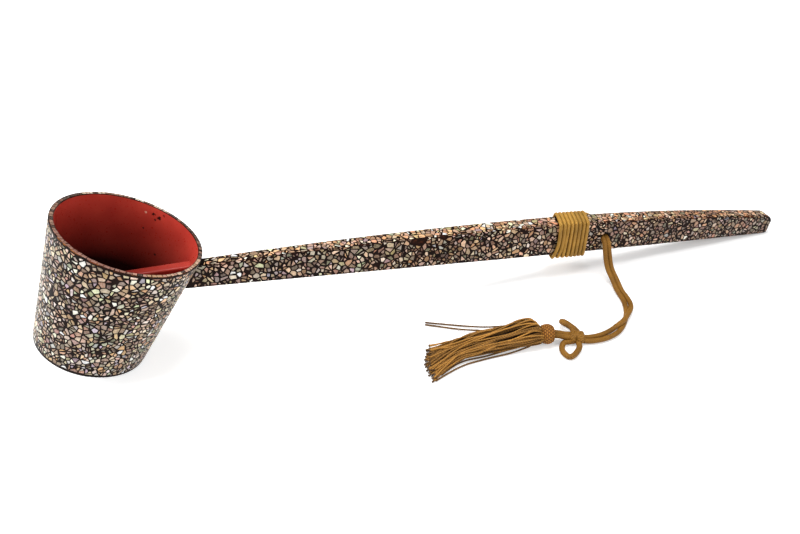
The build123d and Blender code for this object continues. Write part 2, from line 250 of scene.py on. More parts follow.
def round_cup(turn, radius, height):
    """Point in metres about the cup's axis; turn is in radians from the handle's side."""
    outwards = CUP_OUT * cos(turn) + ACROSS * sin(turn)
    return (FOOT_CENTRE + CUP_UP * height + outwards * radius) * MM


def on_cup(turn, height, lift):
    """Point in metres on the cup's outside, or lifted from it."""
    radius = FOOT_RADIUS + (MOUTH_RADIUS - FOOT_RADIUS) * height / CUP_HEIGHT + lift
    return round_cup(turn, radius, height)


def on_lining(turn, height):
    """Point in metres on the inside of the red lining."""
    narrowing = (MOUTH_RADIUS - FOOT_RADIUS) * (1 - height / CUP_HEIGHT)
    return round_cup(turn, LINING_RADIUS_AT_MOUTH - narrowing, height)


def span_share(value, low, high):
    """How far a value has come from low to high, from 0 to 1."""
    return min(max((value - low) / (high - low), 0), 1)


def rgb(red, green, blue):
    """Linear colour from screen values of 0 to 255."""

    def linear(value):
        share = value / 255
        return share / 12.92 if share <= 0.04045 else ((share + 0.055) / 1.055) ** 2.4

    return (linear(red), linear(green), linear(blue), 1)


# Material helpers


def new_material(name):
    """A material, its node tree and its shader."""
    material = bpy.data.materials.new(name)
    material.use_nodes = True
    tree = material.node_tree
    return material, tree, tree.nodes["Principled BSDF"]


def fill(tree, made, inputs):
    """Gives each input of a node its value, or a link from another node's output."""
    for key, value in inputs.items():
        if isinstance(value, bpy.types.NodeSocket):
            tree.links.new(value, made.inputs[key])
        else:
            made.inputs[key].default_value = value


def node(tree, kind, inputs=None, **settings):
    made = tree.nodes.new(kind)
    for key, value in settings.items():
        setattr(made, key, value)
    fill(tree, made, inputs or {})
    return made


def mixed(tree, share, first, second):
    inputs = {0: share, 6: first, 7: second}
    return node(tree, "ShaderNodeMix", inputs, data_type="RGBA").outputs[2]


def numbers(tree, operation, first, second):
    return node(tree, "ShaderNodeMath", {0: first, 1: second}, operation=operation).outputs[0]


def vectors(tree, operation, first, second, output="Vector"):
    inputs = {0: first, 1: second}
    return node(tree, "ShaderNodeVectorMath", inputs, operation=operation).outputs[output]


def own_place(tree):
    return node(tree, "ShaderNodeTexCoord").outputs["Object"]


def noise(tree, scale, detail, roughness, vector=None):
    inputs = {"Scale": scale, "Detail": detail, "Roughness": roughness}
    inputs["Vector"] = own_place(tree) if vector is None else vector
    return node(tree, "ShaderNodeTexNoise", inputs).outputs[0]


def span(tree, value, low, high, to_low=0.0, to_high=1.0):
    inputs = {"Value": value, 1: low, 2: high, 3: to_low, 4: to_high}
    return node(tree, "ShaderNodeMapRange", inputs).outputs[0]


def bump(tree, height, strength, distance=0.0002):
    inputs = {"Height": height, "Strength": strength, "Distance": distance}
    return node(tree, "ShaderNodeBump", inputs).outputs[0]


def attribute(tree, name, output="Fac"):
    return node(tree, "ShaderNodeAttribute", attribute_name=name).outputs[output]


# Materials


def lacquer_material(name, base, worn=None):
    """Dark glossy lacquer; given a worn colour, it is worn to that where the attribute says so."""
    material, tree, shader = new_material(name)
    broad = noise(tree, 60, 4, 0.6)
    fine = noise(tree, 900, 3, 0.6)
    ground = mixed(tree, span(tree, broad, 0.35, 0.7), base, rgb(32, 15, 9))
    if worn:
        patches = span(tree, noise(tree, 150, 4, 0.65), 0.5, 0.64)
        wear = numbers(tree, "MULTIPLY", attribute(tree, "wear"), patches)
        flecks = span(tree, noise(tree, 210, 3, 0.5), 0.56, 0.66)
        orange = numbers(tree, "MAXIMUM", flecks, attribute(tree, "orange"))
        ground = mixed(tree, wear, ground, mixed(tree, orange, worn, rgb(180, 112, 54)))
        roughness = span(tree, wear, 0, 1, 0.45, 0.65)
    else:
        roughness = span(tree, fine, 0.3, 0.7, 0.34, 0.46)
    looks = {
        "Base Color": ground,
        "Roughness": roughness,
        "Normal": bump(tree, fine, 0.25),
        "IOR": 1.5,
        "Specular IOR Level": 0.05,
    }
    fill(tree, shader, looks)
    return material


def shell_material():
    """Broken shell: each chip has its own colour, with faint growth lines and a pearly gloss."""
    material, tree, shader = new_material("shell")
    chip = attribute(tree, "shell_colour", "Color")
    lines = noise(tree, 420, 4, 0.7)
    cloud = noise(tree, 1400, 3, 0.6)
    shaded = mixed(tree, span(tree, lines, 0.4, 0.66, 0.0, 0.4), chip, rgb(74, 52, 40))
    looks = {
        "Base Color": mixed(
            tree, span(tree, cloud, 0.55, 0.8, 0.0, 0.3), shaded, rgb(236, 226, 212)
        ),
        "Roughness": span(tree, cloud, 0.3, 0.7, 0.2, 0.38),
        "Normal": bump(tree, lines, 0.25),
        "Metallic": 0.08,
        "Coat Weight": 0.2,
        "Coat Roughness": 0.18,
    }
    fill(tree, shader, looks)
    return material


# Small spots where the red lacquer is damaged: (turn in degrees, height, radius, colour)
DARK_SPOT = rgb(46, 12, 10)
PALE_SPOT = rgb(214, 150, 130)
DAMAGE_SPOTS = [
    (68, 79.1, 1.1, DARK_SPOT),
    (62, 78.4, 1.2, DARK_SPOT),
    (64.5, 76.2, 0.9, DARK_SPOT),
    (58.5, 81.4, 0.8, DARK_SPOT),
    (72.3, 67.8, 0.8, DARK_SPOT),
    (52, 55.0, 0.8, DARK_SPOT),
    (74.9, 78.5, 0.7, PALE_SPOT),
]


def red_lacquer_material():
    """Vermilion lacquer with slow changes of tone, painted shade deep in the cup, painted light on its bottom, and a
    few small spots of damage.
    """
    material, tree, shader = new_material("red_lacquer")
    broad = noise(tree, 35, 4, 0.55)
    fine = noise(tree, 700, 3, 0.6)
    colour = mixed(tree, span(tree, broad, 0.35, 0.68), rgb(224, 76, 61), rgb(196, 57, 46))
    place = own_place(tree)
    # Painted shade: deep in the cup, where little light comes, the lacquer is darkened
    level = vectors(tree, "DOT_PRODUCT", place, tuple(CUP_UP), "Value")
    colour = mixed(tree, span(tree, level, -0.064, -0.008, 1, 0), colour, rgb(28, 6, 5))
    # Painted light: the bottom, which the light reaches from above, is lifted back to a middle red
    colour = mixed(tree, span(tree, level, -0.096, -0.082, 1, 0), colour, rgb(128, 34, 27))
    # Noise frays the spots; its mean, half of its reach, is made good in their places
    fray = 0.0022
    frayed = node(tree, "ShaderNodeTexNoise", {"Vector": place, "Scale": 900}).outputs[1]
    frayed = node(tree, "ShaderNodeVectorMath", {0: frayed, "Scale": fray}, operation="SCALE")
    ragged = vectors(tree, "ADD", place, frayed.outputs[0])
    for turn, height, radius, shade in DAMAGE_SPOTS:
        spot = [part + fray / 2 for part in on_lining(radians(turn), height)]
        away = vectors(tree, "DISTANCE", ragged, spot, "Value")
        inside = span(tree, away, radius * MM * 0.75, radius * MM * 1.1, 1, 0)
        colour = mixed(tree, inside, colour, shade)
    looks = {
        "Base Color": colour,
        "Roughness": span(tree, fine, 0.3, 0.7, 0.26, 0.36),
        "Normal": bump(tree, fine, 0.05),
        "IOR": 1.45,
        "Specular IOR Level": 0.3,
    }
    fill(tree, shader, looks)
    return material


def cord_material(name, light, dark):
    """Silk cord with fine fibres; where the groove attribute says so it takes painted shade, as in the hollows between
    the braid's strands.
    """
    material, tree, shader = new_material(name)
    fibre = noise(tree, 3500, 3, 0.7)
    broad = noise(tree, 90, 3, 0.5)
    base = mixed(tree, span(tree, broad, 0.3, 0.7, 0.0, 0.4), light, dark)
    base = mixed(tree, span(tree, fibre, 0.3, 0.75, 0.0, 0.3), base, dark)
    looks = {
        # Painted shade: the groove attribute darkens the colour in hollows between strands, plies and stitches, and
        # inside the tassel's bundle
        "Base Color": mixed(tree, attribute(tree, "groove"), base, dark),
        "Roughness": 0.62,
        "Sheen Weight": 0.04,
        "Specular IOR Level": 0.2,
        "Sheen Roughness": 0.4,
        "Sheen Tint": rgb(235, 190, 110),
        "Normal": bump(tree, fibre, 0.5, 0.00015),
    }
    fill(tree, shader, looks)
    return material


def wood_material():
    """Bare turned wood with long grain."""
    material, tree, shader = new_material("plain_wood")
    stretched = vectors(tree, "MULTIPLY", own_place(tree), (40, 700, 700))
    grain = noise(tree, 1.0, 5, 0.6, stretched)
    bands = span(tree, grain, 0.35, 0.65)
    looks = {
        "Base Color": mixed(tree, bands, rgb(186, 148, 104), rgb(132, 94, 58)),
        "Normal": bump(tree, grain, 0.3, 0.0003),
        "Roughness": 0.6,
    }
    fill(tree, shader, looks)
    return material


black_lacquer = lacquer_material("black_lacquer", rgb(16, 10, 8))
edge_lacquer = lacquer_material("edge_lacquer", rgb(13, 7, 6), rgb(112, 58, 34))
shell = shell_material()
red_lacquer = red_lacquer_material()
gold_cord = cord_material("gold_cord", rgb(164, 114, 40), rgb(34, 16, 3))
winding_cord = cord_material("winding_cord", rgb(220, 166, 74), rgb(30, 16, 4))
tassel_thread = cord_material("tassel_thread", rgb(222, 158, 72), rgb(22, 10, 3))
cut_ends = cord_material("cut_ends", rgb(116, 88, 58), rgb(60, 42, 26))
head_cord = cord_material("head_cord", rgb(204, 138, 54), rgb(64, 28, 6))
plain_wood = wood_material()


# Mesh helpers


def add_object(name, data):
    made = bpy.data.objects.new(name, data)
    bpy.context.scene.collection.objects.link(made)
    return made


def add_piece(name, verts, faces, material, slot, smooth=True, **attributes):
    """A mesh that rides on the body; an attribute holds one number or colour a vertex."""
    mesh = bpy.data.meshes.new(name)
    mesh.from_pydata([tuple(v) for v in verts], [], faces)
    mesh.update()
    mesh.materials.append(material)
    for label, values in attributes.items():
        if label == "shell_colour":
            layer = mesh.attributes.new(label, "FLOAT_COLOR", "POINT")
            layer.data.foreach_set("color", [part for value in values for part in value])
        else:
            layer = mesh.attributes.new(label, "FLOAT", "POINT")
            layer.data.foreach_set("value", values)
    if smooth:
        mesh.polygons.foreach_set("use_smooth", [True] * len(mesh.polygons))
    piece = add_object(name, mesh)
    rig.ride(piece, BODY)
    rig.slot(piece, slot)
    return piece


def facing_out(piece):
    """Turns a piece's faces so that they look outwards."""
    mesh = bmesh.new()
    mesh.from_mesh(piece.data)
    bmesh.ops.recalc_face_normals(mesh, faces=mesh.faces)
    mesh.to_mesh(piece.data)
    mesh.free()


def ring_faces(start, rings, count, closed=False):
    """Faces between rings of count vertices each, the first of which begins at start."""
    faces = []
    for ring in range(rings if closed else rings - 1):
        here = start + ring * count
        ahead = start + (ring + 1) % rings * count
        for index in range(count):
            after = (index + 1) % count
            faces.append((here + index, here + after, ahead + after, ahead + index))
    return faces


def ring_cap(start, ring, count):
    """One face over a whole ring of vertices."""
    return tuple(start + ring * count + index for index in range(count))


def paint(material, *node_names):
    for node_name in node_names:
        cad = frame["nodes"][node_name]
        cad.data.materials.clear()
        cad.data.materials.append(material)


# Broken shell set in lacquer; outlines are lists of (x, y) that run anticlockwise

LEAST_AREA = 0.4
LEAST_SIDE = 0.75


def clip(outline, across, up, limit):
    """The part of a convex outline where across * x + up * y is at most limit."""
    kept = []
    for index, first in enumerate(outline):
        second = outline[(index + 1) % len(outline)]
        first_over = across * first[0] + up * first[1] - limit
        second_over = across * second[0] + up * second[1] - limit
        if first_over <= 0:
            kept.append(first)
        if first_over * second_over < 0:
            share = first_over / (first_over - second_over)
            x = first[0] + (second[0] - first[0]) * share
            y = first[1] + (second[1] - first[1]) * share
            kept.append((x, y))
    return kept


def next_corners(outline):
    """Each corner of an outline with the next one."""
    return zip(outline, outline[1:] + outline[:1])


def sides_of(outline):
    """(across, up, limit) of each side, where across * x + up * y reaches limit on the side."""
    for a, b in next_corners(outline):
        length = hypot(b[0] - a[0], b[1] - a[1])
        if length >= 1e-6:
            across, up = (b[1] - a[1]) / length, (a[0] - b[0]) / length
            yield across, up, across * a[0] + up * a[1]


def area_of(outline):
    return sum(a[0] * b[1] - b[0] * a[1] for a, b in next_corners(outline)) / 2


def middle_of(outline):
    count = len(outline)
    return sum(p[0] for p in outline) / count, sum(p[1] for p in outline) / count


def drawn_in(outline, gap):
    """A convex outline moved in by the gap on every side."""
    made = outline
    for across, up, limit in sides_of(outline):
        made = clip(made, across, up, limit - gap)
        if len(made) < 3:
            return []
    return made


def within(outline, part):
    """What of a part lies in a convex outline."""
    for across, up, limit in sides_of(outline):
        if any(across * p[0] + up * p[1] > limit for p in part):
            part = clip(part, across, up, limit)
            if len(part) < 3:
                return []
    return part


def tidied(outline, least):
    """The outline without corners that lie closer together than least."""
    kept = []
    for point in outline:
        if not kept or hypot(point[0] - kept[-1][0], point[1] - kept[-1][1]) > least:
            kept.append(point)
    if len(kept) > 1 and hypot(kept[0][0] - kept[-1][0], kept[0][1] - kept[-1][1]) < least:
        kept.pop()
    return kept


def in_buckets(points, size):
    """The points by the square of a grid that they lie in."""
    buckets = {}
    for x, y in points:
        buckets.setdefault((int(x // size), int(y // size)), []).append((x, y))
    return buckets


def near_in(buckets, column, row, reach):
    """The points in the squares round one square of a grid."""
    for i in range(-reach, reach + 1):
        for j in range(-reach, reach + 1):
            yield from buckets.get((column + i, row + j), ())


def scattered(rng, width, height, spacing):
    """Points strewn over a rectangle, none nearer to another than about half the spacing."""
    least = 0.56 * spacing
    wanted = int(width * height / spacing**2)
    tries = wanted * 12
    buckets = {}
    points = []
    for _ in range(tries):
        if len(points) >= wanted:
            break
        x, y = rng.uniform(0, width), rng.uniform(0, height)
        column, row = int(x / least), int(y / least)
        close = any(
            hypot(x - a, y - b) < least * rng.uniform(0.75, 1.25)
            for a, b in near_in(buckets, column, row, 1)
        )
        if not close:
            points.append((x, y))
            buckets.setdefault((column, row), []).append((x, y))
    return points


def cells(rng, width, height, spacing, wraps):
    """Convex cells round strewn points; where it wraps, the right edge meets the left."""
    points = scattered(rng, width, height, spacing)
    copies = list(points)
    if wraps:
        copies += [(x + width, y) for x, y in points if x < 4 * spacing]
        copies += [(x - width, y) for x, y in points if x > width - 4 * spacing]
    buckets = in_buckets(copies, spacing)
    reach = 1.8 * spacing
    found = []
    for x, y in points:
        near = sorted(
            (hypot(a - x, b - y), a, b)
            for a, b in near_in(buckets, int(x // spacing), int(y // spacing), 3)
            if (a, b) != (x, y)
        )
        low, high = max(y - reach, 0), min(y + reach, height)
        outline = [(x - reach, low), (x + reach, low), (x + reach, high), (x - reach, high)]
        for distance, a, b in near:
            farthest = max(hypot(p[0] - x, p[1] - y) for p in outline)
            if distance > 2 * farthest:
                break
            outline = clip(outline, a - x, b - y, (a * a + b * b - x * x - y * y) / 2)
        found.append(outline)
    return found


def broken(rng, outline, least_gap, most_gap):
    """Breaks a cell into one or two angular chips with a gap all round."""
    split_share, split_area = 0.3, 7
    parts = [outline]
    x, y = middle_of(outline)
    if rng.random() < split_share and area_of(outline) > split_area:
        turn = rng.uniform(0, pi)
        across, up = cos(turn), sin(turn)
        limit = across * x + up * y + rng.uniform(-0.35, 0.35)
        parts = [clip(outline, across, up, limit), clip(outline, -across, -up, -limit)]
    chips = []
    for part in parts:
        if len(part) < 3:
            continue
        part = drawn_in(part, rng.uniform(least_gap, most_gap))
        # Up to two corners are broken off
        for _ in range(rng.choice((0, 0, 1, 1, 2))):
            if len(part) < 3:
                break
            x, y = middle_of(part)
            turn = rng.uniform(0, 2 * pi)
            across, up = cos(turn), sin(turn)
            reach = max(across * (p[0] - x) + up * (p[1] - y) for p in part)
            limit = across * x + up * y + reach * rng.uniform(0.25, 0.75)
            part = clip(part, across, up, limit)
        part = tidied(part, LEAST_SIDE) if len(part) > 2 else []
        if len(part) > 2 and area_of(part) > LEAST_AREA:
            chips.append(part)
    return chips


# Colours of the shell, as (share, screen colour)
SHELL_COLOURS = [
    (16, (206, 186, 156)),
    (16, (178, 148, 114)),
    (8, (146, 116, 88)),
    (12, (228, 214, 194)),
    (8, (252, 248, 240)),
    (6, (206, 174, 156)),
    (6, (168, 126, 106)),
    (8, (186, 190, 156)),
    (5, (146, 142, 102)),
    (6, (180, 140, 90)),
    (3, (184, 172, 188)),
    (4, (118, 90, 70)),
]
RED_SHELL = (196, 138, 100)


def shell_colour(rng, bright, redder):
    shares = [share for share, _ in SHELL_COLOURS]
    base = rng.choices(SHELL_COLOURS, shares)[0][1]
    tint = rng.uniform(0, 0.85) * redder
    base = [part + (red_part - part) * tint for part, red_part in zip(base, RED_SHELL)]
    level = rng.uniform(0.6, 1.14) * bright
    red, green, blue = (min(255, value * level + rng.uniform(-7, 7)) for value in base)
    return rgb(max(red, 0), max(green, 0), max(blue, 0))


CHIP_DEPTH = 0.12
CHIP_LIFT = 0.08
BEVEL_WIDTH = 0.09
BEVEL_DROP = 0.06


def add_chip(rng, outline, place, store, bright, redder):
    """One chip: its outline on the surface, a small bevel and a slightly tilted top."""
    verts, faces, colours = store
    x, y = middle_of(outline)
    tilt_x, tilt_y = rng.gauss(0, 0.03), rng.gauss(0, 0.03)
    top = CHIP_LIFT + rng.uniform(0, 0.04)
    start = len(verts)
    count = len(outline)

    def add_ring(ring, height, least):
        for a, b in ring:
            lift = max(height + tilt_x * (a - x) + tilt_y * (b - y), least)
            verts.append(place(a, b, lift))

    verts.extend(place(a, b, -CHIP_DEPTH) for a, b in outline)
    add_ring(outline, top - BEVEL_DROP, 0.02)
    inner = drawn_in(outline, BEVEL_WIDTH)
    rings = 2
    if len(inner) == count:
        add_ring(inner, top, 0.04)
        rings = 3
    faces.extend(ring_faces(start, rings, count))
    faces.append(ring_cap(start, rings - 1, count))
    colours.extend([shell_colour(rng, bright, redder)] * (count * rings))


def add_chips(name, store, slot):
    """All chips of a store as one piece with flat faces."""
    verts, faces, colours = store
    piece = add_piece(name, verts, faces, shell, slot, smooth=False, shell_colour=colours)
    facing_out(piece)
    return piece


# Painted shade: direction in which the cup's chips are darkest, the side that the key lamp lights; they are lightest
# on the far side
PAINTED_SHADE_TURN = radians(222)


def cup_chips():
    rng = Random(11)
    store = ([], [], [])
    mean_radius = (FOOT_RADIUS + MOUTH_RADIUS) / 2
    low, high = 1.9, WALL_TOP - 0.5
    spacing, least_gap, most_gap = 2.9, 0.31, 0.48
    clear_beside, clear_under, clear_above = 0.4, 0.6, 0.5

    def place(a, b, lift):
        return on_cup(a / mean_radius, low + b, lift)

    for cell in cells(rng, 2 * pi * mean_radius, high - low, spacing, True):
        for chip in broken(rng, cell, least_gap, most_gap):
            corners = [bar_place(place(a, b, 0)) for a, b in chip]
            blocked = any(
                abs(side) < bar_width(along) / 2 + clear_beside
                and -clear_under < up < bar_top(along) + clear_above
                for along, side, up in corners
                if along > -TANG_REACH
            )
            if not blocked:
                # Painted shade: chips are darker towards the key-lit front left of the cup and lighter on the far side
                painted_dimming = cos(middle_of(chip)[0] / mean_radius - PAINTED_SHADE_TURN)
                add_chip(rng, chip, place, store, 1.16 - 0.06 * painted_dimming, 0.25)
    add_chips("cup_shell_chips", store, "shell_inlay")


def cup_side_reach(up):
    """How far along the bar the cup's outside lies, at a height on the bar."""
    return 42.56 + 0.562 * up


# Places on the front of the handle without shell: (reach, half length, height, half height)
BARE_PATCHES = [(194.5, 4.2, 21.6, 2.4), (212.0, 6.0, 23.9, 1.3)]


def bare_patch(reach, up):
    """Whether a place on the front of the handle has lost its shell."""
    return any(
        abs(reach - middle) < half_length and abs(up - height) < half_height
        for middle, half_length, height, half_height in BARE_PATCHES
    )


def round_edge(value, low, high, half, lift):
    """Place on a face of the bar with rounded long edges: (out from the axis, along the face)."""
    size = min(EDGE_ROUND, 0.9 * half)
    if value > high - size:
        turn = (value - high + size) / size
        return half - size + (size + lift) * cos(turn), high - size + (size + lift) * sin(turn)
    if value < low + size:
        turn = (low + size - value) / size
        return half - size + (size + lift) * cos(turn), low + size - (size + lift) * sin(turn)
    return half + lift, value


# Chips of the handle are drawn by (reach beyond CHIPS_START, height on the face); on the top and
# the underside the height is measured across the bar, whose middle is at FLAT_MIDDLE
CHIPS_START = 40.0
CHIPS_END = HANDLE_REACH - 1.0
FLAT_MIDDLE = 8
# Under the winding no chips are seen
COVERED_FROM, COVERED_TO = 300, 324


def on_side(sign):
    """The place function of the front (-1) or the back (1) of the handle."""

    def place(a, b, lift):
        reach = CHIPS_START + a
        low, high = bar_low(reach), bar_high(reach)
        out, up = round_edge(b, low, high, bar_half_width(reach), lift)
        return on_bar(reach, sign * out, up)

    return place


def on_flat(sign):
    """The place function of the underside (-1) or the top (1) of the handle."""

    def place(a, b, lift):
        reach = CHIPS_START + a
        low, high = bar_low(reach), bar_high(reach)
        half = bar_half_width(reach)
        out, side = round_edge(b - FLAT_MIDDLE, -half, half, (high - low) / 2, lift)
        return on_bar(reach, side, (low + high) / 2 + sign * out)

    return place


def flat_low(reach):
    return FLAT_MIDDLE - bar_half_width(reach)


def flat_high(reach):
    return FLAT_MIDDLE + bar_half_width(reach)


def face_outline(low, high, margin):
    """Outline of a face of the handle, a margin inside its long edges."""
    steps = 60
    length = CHIPS_END - CHIPS_START
    stations = [CHIPS_START + length * index / steps for index in range(steps + 1)]
    lower = [(reach - CHIPS_START, low(reach) + margin) for reach in stations]
    upper = [(reach - CHIPS_START, high(reach) - margin) for reach in reversed(stations)]
    return lower + upper


def clear_of_hole(chip):
    """A chip on the handle's front or back, cut short of the cord hole."""
    x, y = middle_of(chip)
    hole_x = HOLE_REACH - CHIPS_START
    away = hypot(x + CHIPS_START - HOLE_REACH, y - HOLE_HEIGHT)
    if away >= 9:
        return chip
    across = (hole_x - x) / away
    up = (HOLE_HEIGHT - y) / away
    limit = across * hole_x + up * HOLE_HEIGHT - (HOLE_RADIUS + 0.5)
    return tidied(clip(chip, across, up, limit), 0.3)


def handle_chips():
    rng = Random(23)
    store = ([], [], [])
    # Along each long edge the chips of one face or the other reach farther round it
    leans = (-0.3, 0.0, 0.3)
    lean_length = 5
    reach_rounds = [rng.choice(leans) for _ in range(100)]
    for face, place, height, low, high, sign in (
        ("front", on_side(-1), 26, bar_low, bar_high, 1),
        ("back", on_side(1), 26, bar_low, bar_high, 1),
        ("top", on_flat(1), 16, flat_low, flat_high, -1),
        ("under", on_flat(-1), 16, flat_low, flat_high, -1),
    ):
        on_top = face == "top"
        least_gap, most_gap = (0.24, 0.38) if on_top else (0.38, 0.54)
        outlines = {lean: face_outline(low, high, 0.16 + sign * lean) for lean in leans}
        for cell in cells(rng, CHIPS_END - CHIPS_START, height, 3.4, False):
            lean = reach_rounds[int(middle_of(cell)[0] // lean_length)]
            cell = within(outlines[lean], cell)
            if len(cell) < 3:
                continue
            for chip in broken(rng, cell, least_gap, most_gap):
                x, y = middle_of(chip)
                reach = x + CHIPS_START
                if face in ("front", "back"):
                    chip = clear_of_hole(chip)
                    if len(chip) < 3 or area_of(chip) < LEAST_AREA:
                        continue
                corners = [bar_place(place(a, b, 0)) for a, b in chip]
                if any(along < cup_side_reach(up) + 0.5 for along, _, up in corners):
                    continue
                if all(COVERED_FROM < along < COVERED_TO for along, _, _ in corners):
                    continue
                if face == "front" and bare_patch(reach, y):
                    continue
                redder = 0.6 + 0.5 * span_share(reach, 200, 400) + (0.2 if on_top else 0)
                # Painted light: chips on the top face are made brighter than on the other faces; all chips grow darker
                # from reach 300 to 400
                bright = (1.34 if on_top else 1.05) - 0.14 * span_share(reach, 300, 400)
                add_chip(rng, chip, place, store, bright, redder)
    add_chips("handle_shell_chips", store, "shell_inlay")


# The handle's lacquer


def bar_section(reach):
    """Ring of (side, up) round the bar, with rounded edges."""
    corner_steps = 6
    flat_steps = 4
    half = bar_half_width(reach)
    low, high = bar_low(reach), bar_high(reach)
    radius = min(EDGE_ROUND, half * 0.9, (high - low) * 0.45)
    centres = (
        (half - radius, low + radius, -90),
        (half - radius, high - radius, 0),
        (-half + radius, high - radius, 90),
        (-half + radius, low + radius, 180),
    )

    def corner_point(side, up, angle):
        turn = radians(angle)
        return side + radius * cos(turn), up + radius * sin(turn)

    ring = []
    for index, (side, up, angle) in enumerate(centres):
        for step in range(corner_steps + 1):
            ring.append(corner_point(side, up, angle + 90 * step / corner_steps))
        last = ring[-1]
        goal = corner_point(*centres[(index + 1) % 4])
        for step in range(1, flat_steps):
            share = step / flat_steps
            side_step, up_step = (goal[0] - last[0]) * share, (goal[1] - last[1]) * share
            ring.append((last[0] + side_step, last[1] + up_step))
    return ring


def drill_hole(piece):
    """Cuts the cord hole through a piece and returns its new mesh."""
    drill = add_object("drill", bpy.data.meshes.new("drill"))
    tool = bmesh.new()
    turn = Matrix.Rotation(radians(90), 4, "X")
    bmesh.ops.create_cone(
        tool,
        cap_ends=True,
        segments=48,
        radius1=HOLE_RADIUS * MM,
        radius2=HOLE_RADIUS * MM,
        depth=0.03,
        matrix=Matrix.Translation(on_bar(HOLE_REACH, 0, HOLE_HEIGHT)) @ turn,
    )
    tool.to_mesh(drill.data)
    tool.free()
    cut = piece.modifiers.new("hole", "BOOLEAN")
    cut.operation = "DIFFERENCE"
    cut.solver = "EXACT"
    cut.object = drill
    drilled = bpy.data.meshes.new_from_object(
        piece.evaluated_get(bpy.context.evaluated_depsgraph_get())
    )
    piece.modifiers.clear()
    piece.data = drilled
    bpy.data.objects.remove(drill)
    return drilled


def handle_wear(point):
    """(wear, orange) at a point: worn long edges, an orange stretch, and the bare patches."""
    edge_width = 1.3
    orange_reach, orange_half_length = 225, 5
    along, side, up = bar_place(point)
    reach = min(along, HANDLE_REACH)
    from_side = bar_half_width(reach) - abs(side)
    from_top = min(bar_high(reach) - up, up - bar_low(along))
    strength = 0.3 + 0.7 * span_share(along, 195, 215)
    wear = strength * max(0.0, 1 - max(from_side, from_top) / edge_width)
    orange = 0.0
    if side < 0 and up > 0.5 * bar_top(along):
        orange = max(0.0, 1 - abs(along - orange_reach) / orange_half_length)
    wear = max(wear, min(1, 1.6 * orange * wear + 0.5 * wear))
    if side < 0 and bare_patch(along, up):
        wear = max(wear, 0.6)
    return wear, orange


def handle_lacquer():
    """The handle's lacquer: the bar with rounded edges that are worn, and the cord hole."""
    first = 58.0
    steps = 110
    sunk = 0.35
    straight_end = HANDLE_REACH - TIP_UPPER_ROUND
    reaches = [first + (straight_end - first) * index / steps for index in range(steps + 1)]
    reaches += [straight_end + TIP_UPPER_ROUND * share for share in TIP_SHARES]
    rings = []
    # The bar's first stretch starts on the slanting side of the cup
    for share in (0, 0.35, 0.7):
        ring = []
        for side, up in bar_section(first):
            begin = cup_side_reach(up) - sunk
            ring.append(on_bar(begin + (first - begin) * share, side, up))
        rings.append(ring)
    for reach in reaches:
        rings.append([on_bar(reach, side, up) for side, up in bar_section(reach)])
    count = len(rings[0])
    verts = [point for ring in rings for point in ring]
    faces = ring_faces(0, len(rings), count)
    faces.append(ring_cap(0, 0, count))
    faces.append(ring_cap(0, len(rings) - 1, count))
    piece = add_piece("handle_lacquer", verts, faces, edge_lacquer, "shell_inlay")
    facing_out(piece)
    mesh = drill_hole(piece)
    wear, orange = zip(*(handle_wear(vertex.co) for vertex in mesh.vertices))
    mesh.attributes.new("wear", "FLOAT", "POINT").data.foreach_set("value", wear)
    mesh.attributes.new("orange", "FLOAT", "POINT").data.foreach_set("value", orange)
    mesh.polygons.foreach_set("use_smooth", [True] * len(mesh.polygons))
    mesh.set_sharp_from_angle(angle=radians(40))
    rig.replaces(piece, "handle_inlay_skin")


# The rim

RIM_INNER = LINING_RADIUS_AT_MOUTH + 0.05
RIM_OUTER = MOUTH_RADIUS - 0.08
DARK_PLATE = (64, 46, 38)
CREAM = ((226, 212, 192), (206, 186, 160), (216, 190, 170))
TAN = ((204, 166, 138), (186, 144, 108), (214, 184, 156), (196, 146, 126))
BROWN = ((140, 106, 88), (122, 90, 72), (158, 124, 104))
ROSE = ((150, 104, 88), (144, 98, 82), (156, 112, 96))
# Rim plates by direction: (up to this turn in degrees, share of dark ones, colours)
RIM_STRETCHES = [
    (26, 0.55, BROWN + CREAM[1:2]),
    (60, 0.7, BROWN),
    (71, 0.1, CREAM),
    (80, 0.4, BROWN),
    (89, 0.1, CREAM),
    (112, 0.3, BROWN),
    (148, 0.35, CREAM),
    (204, 0.35, BROWN),
    (274, 0.0, ROSE),
    (346, 0.12, TAN),
    (361, 0.5, BROWN),
]


def plate_colour(rng, turn):
    _, dark_share, palette = next(stretch for stretch in RIM_STRETCHES if turn < stretch[0])
    return DARK_PLATE if rng.random() < dark_share else rng.choice(palette)


def rim_lacquer():
    """The lacquer ring between and round the plates, worn on the side of the rosy ones."""
    steps = 256
    profile = [
        (RIM_INNER, WALL_TOP + 0.01),
        (RIM_INNER + 0.08, WALL_TOP + 0.42),
        (RIM_INNER + 0.35, WALL_TOP + 0.53),
        (RIM_OUTER - 0.35, WALL_TOP + 0.53),
        (RIM_OUTER - 0.06, WALL_TOP + 0.4),
        (RIM_OUTER, WALL_TOP + 0.01),
    ]
    verts, worn, orange = [], [], []
    for step in range(steps):
        turn = 360 * step / steps
        rosy = exp(-(((turn - 240) / 26) ** 4))
        line = exp(-(((turn - 221) / 13) ** 4))
        for index, (radius, height) in enumerate(profile):
            verts.append(round_cup(2 * pi * step / steps, radius, height))
            worn.append(max(0.95 * rosy, line if index >= 3 else 0, 0.3))
            orange.append(line if index in (3, 4) else 0.0)
    faces = ring_faces(0, steps, len(profile), closed=True)
    piece = add_piece(
        "rim_lacquer", verts, faces, edge_lacquer, "black_lacquer", wear=worn, orange=orange
    )
    facing_out(piece)


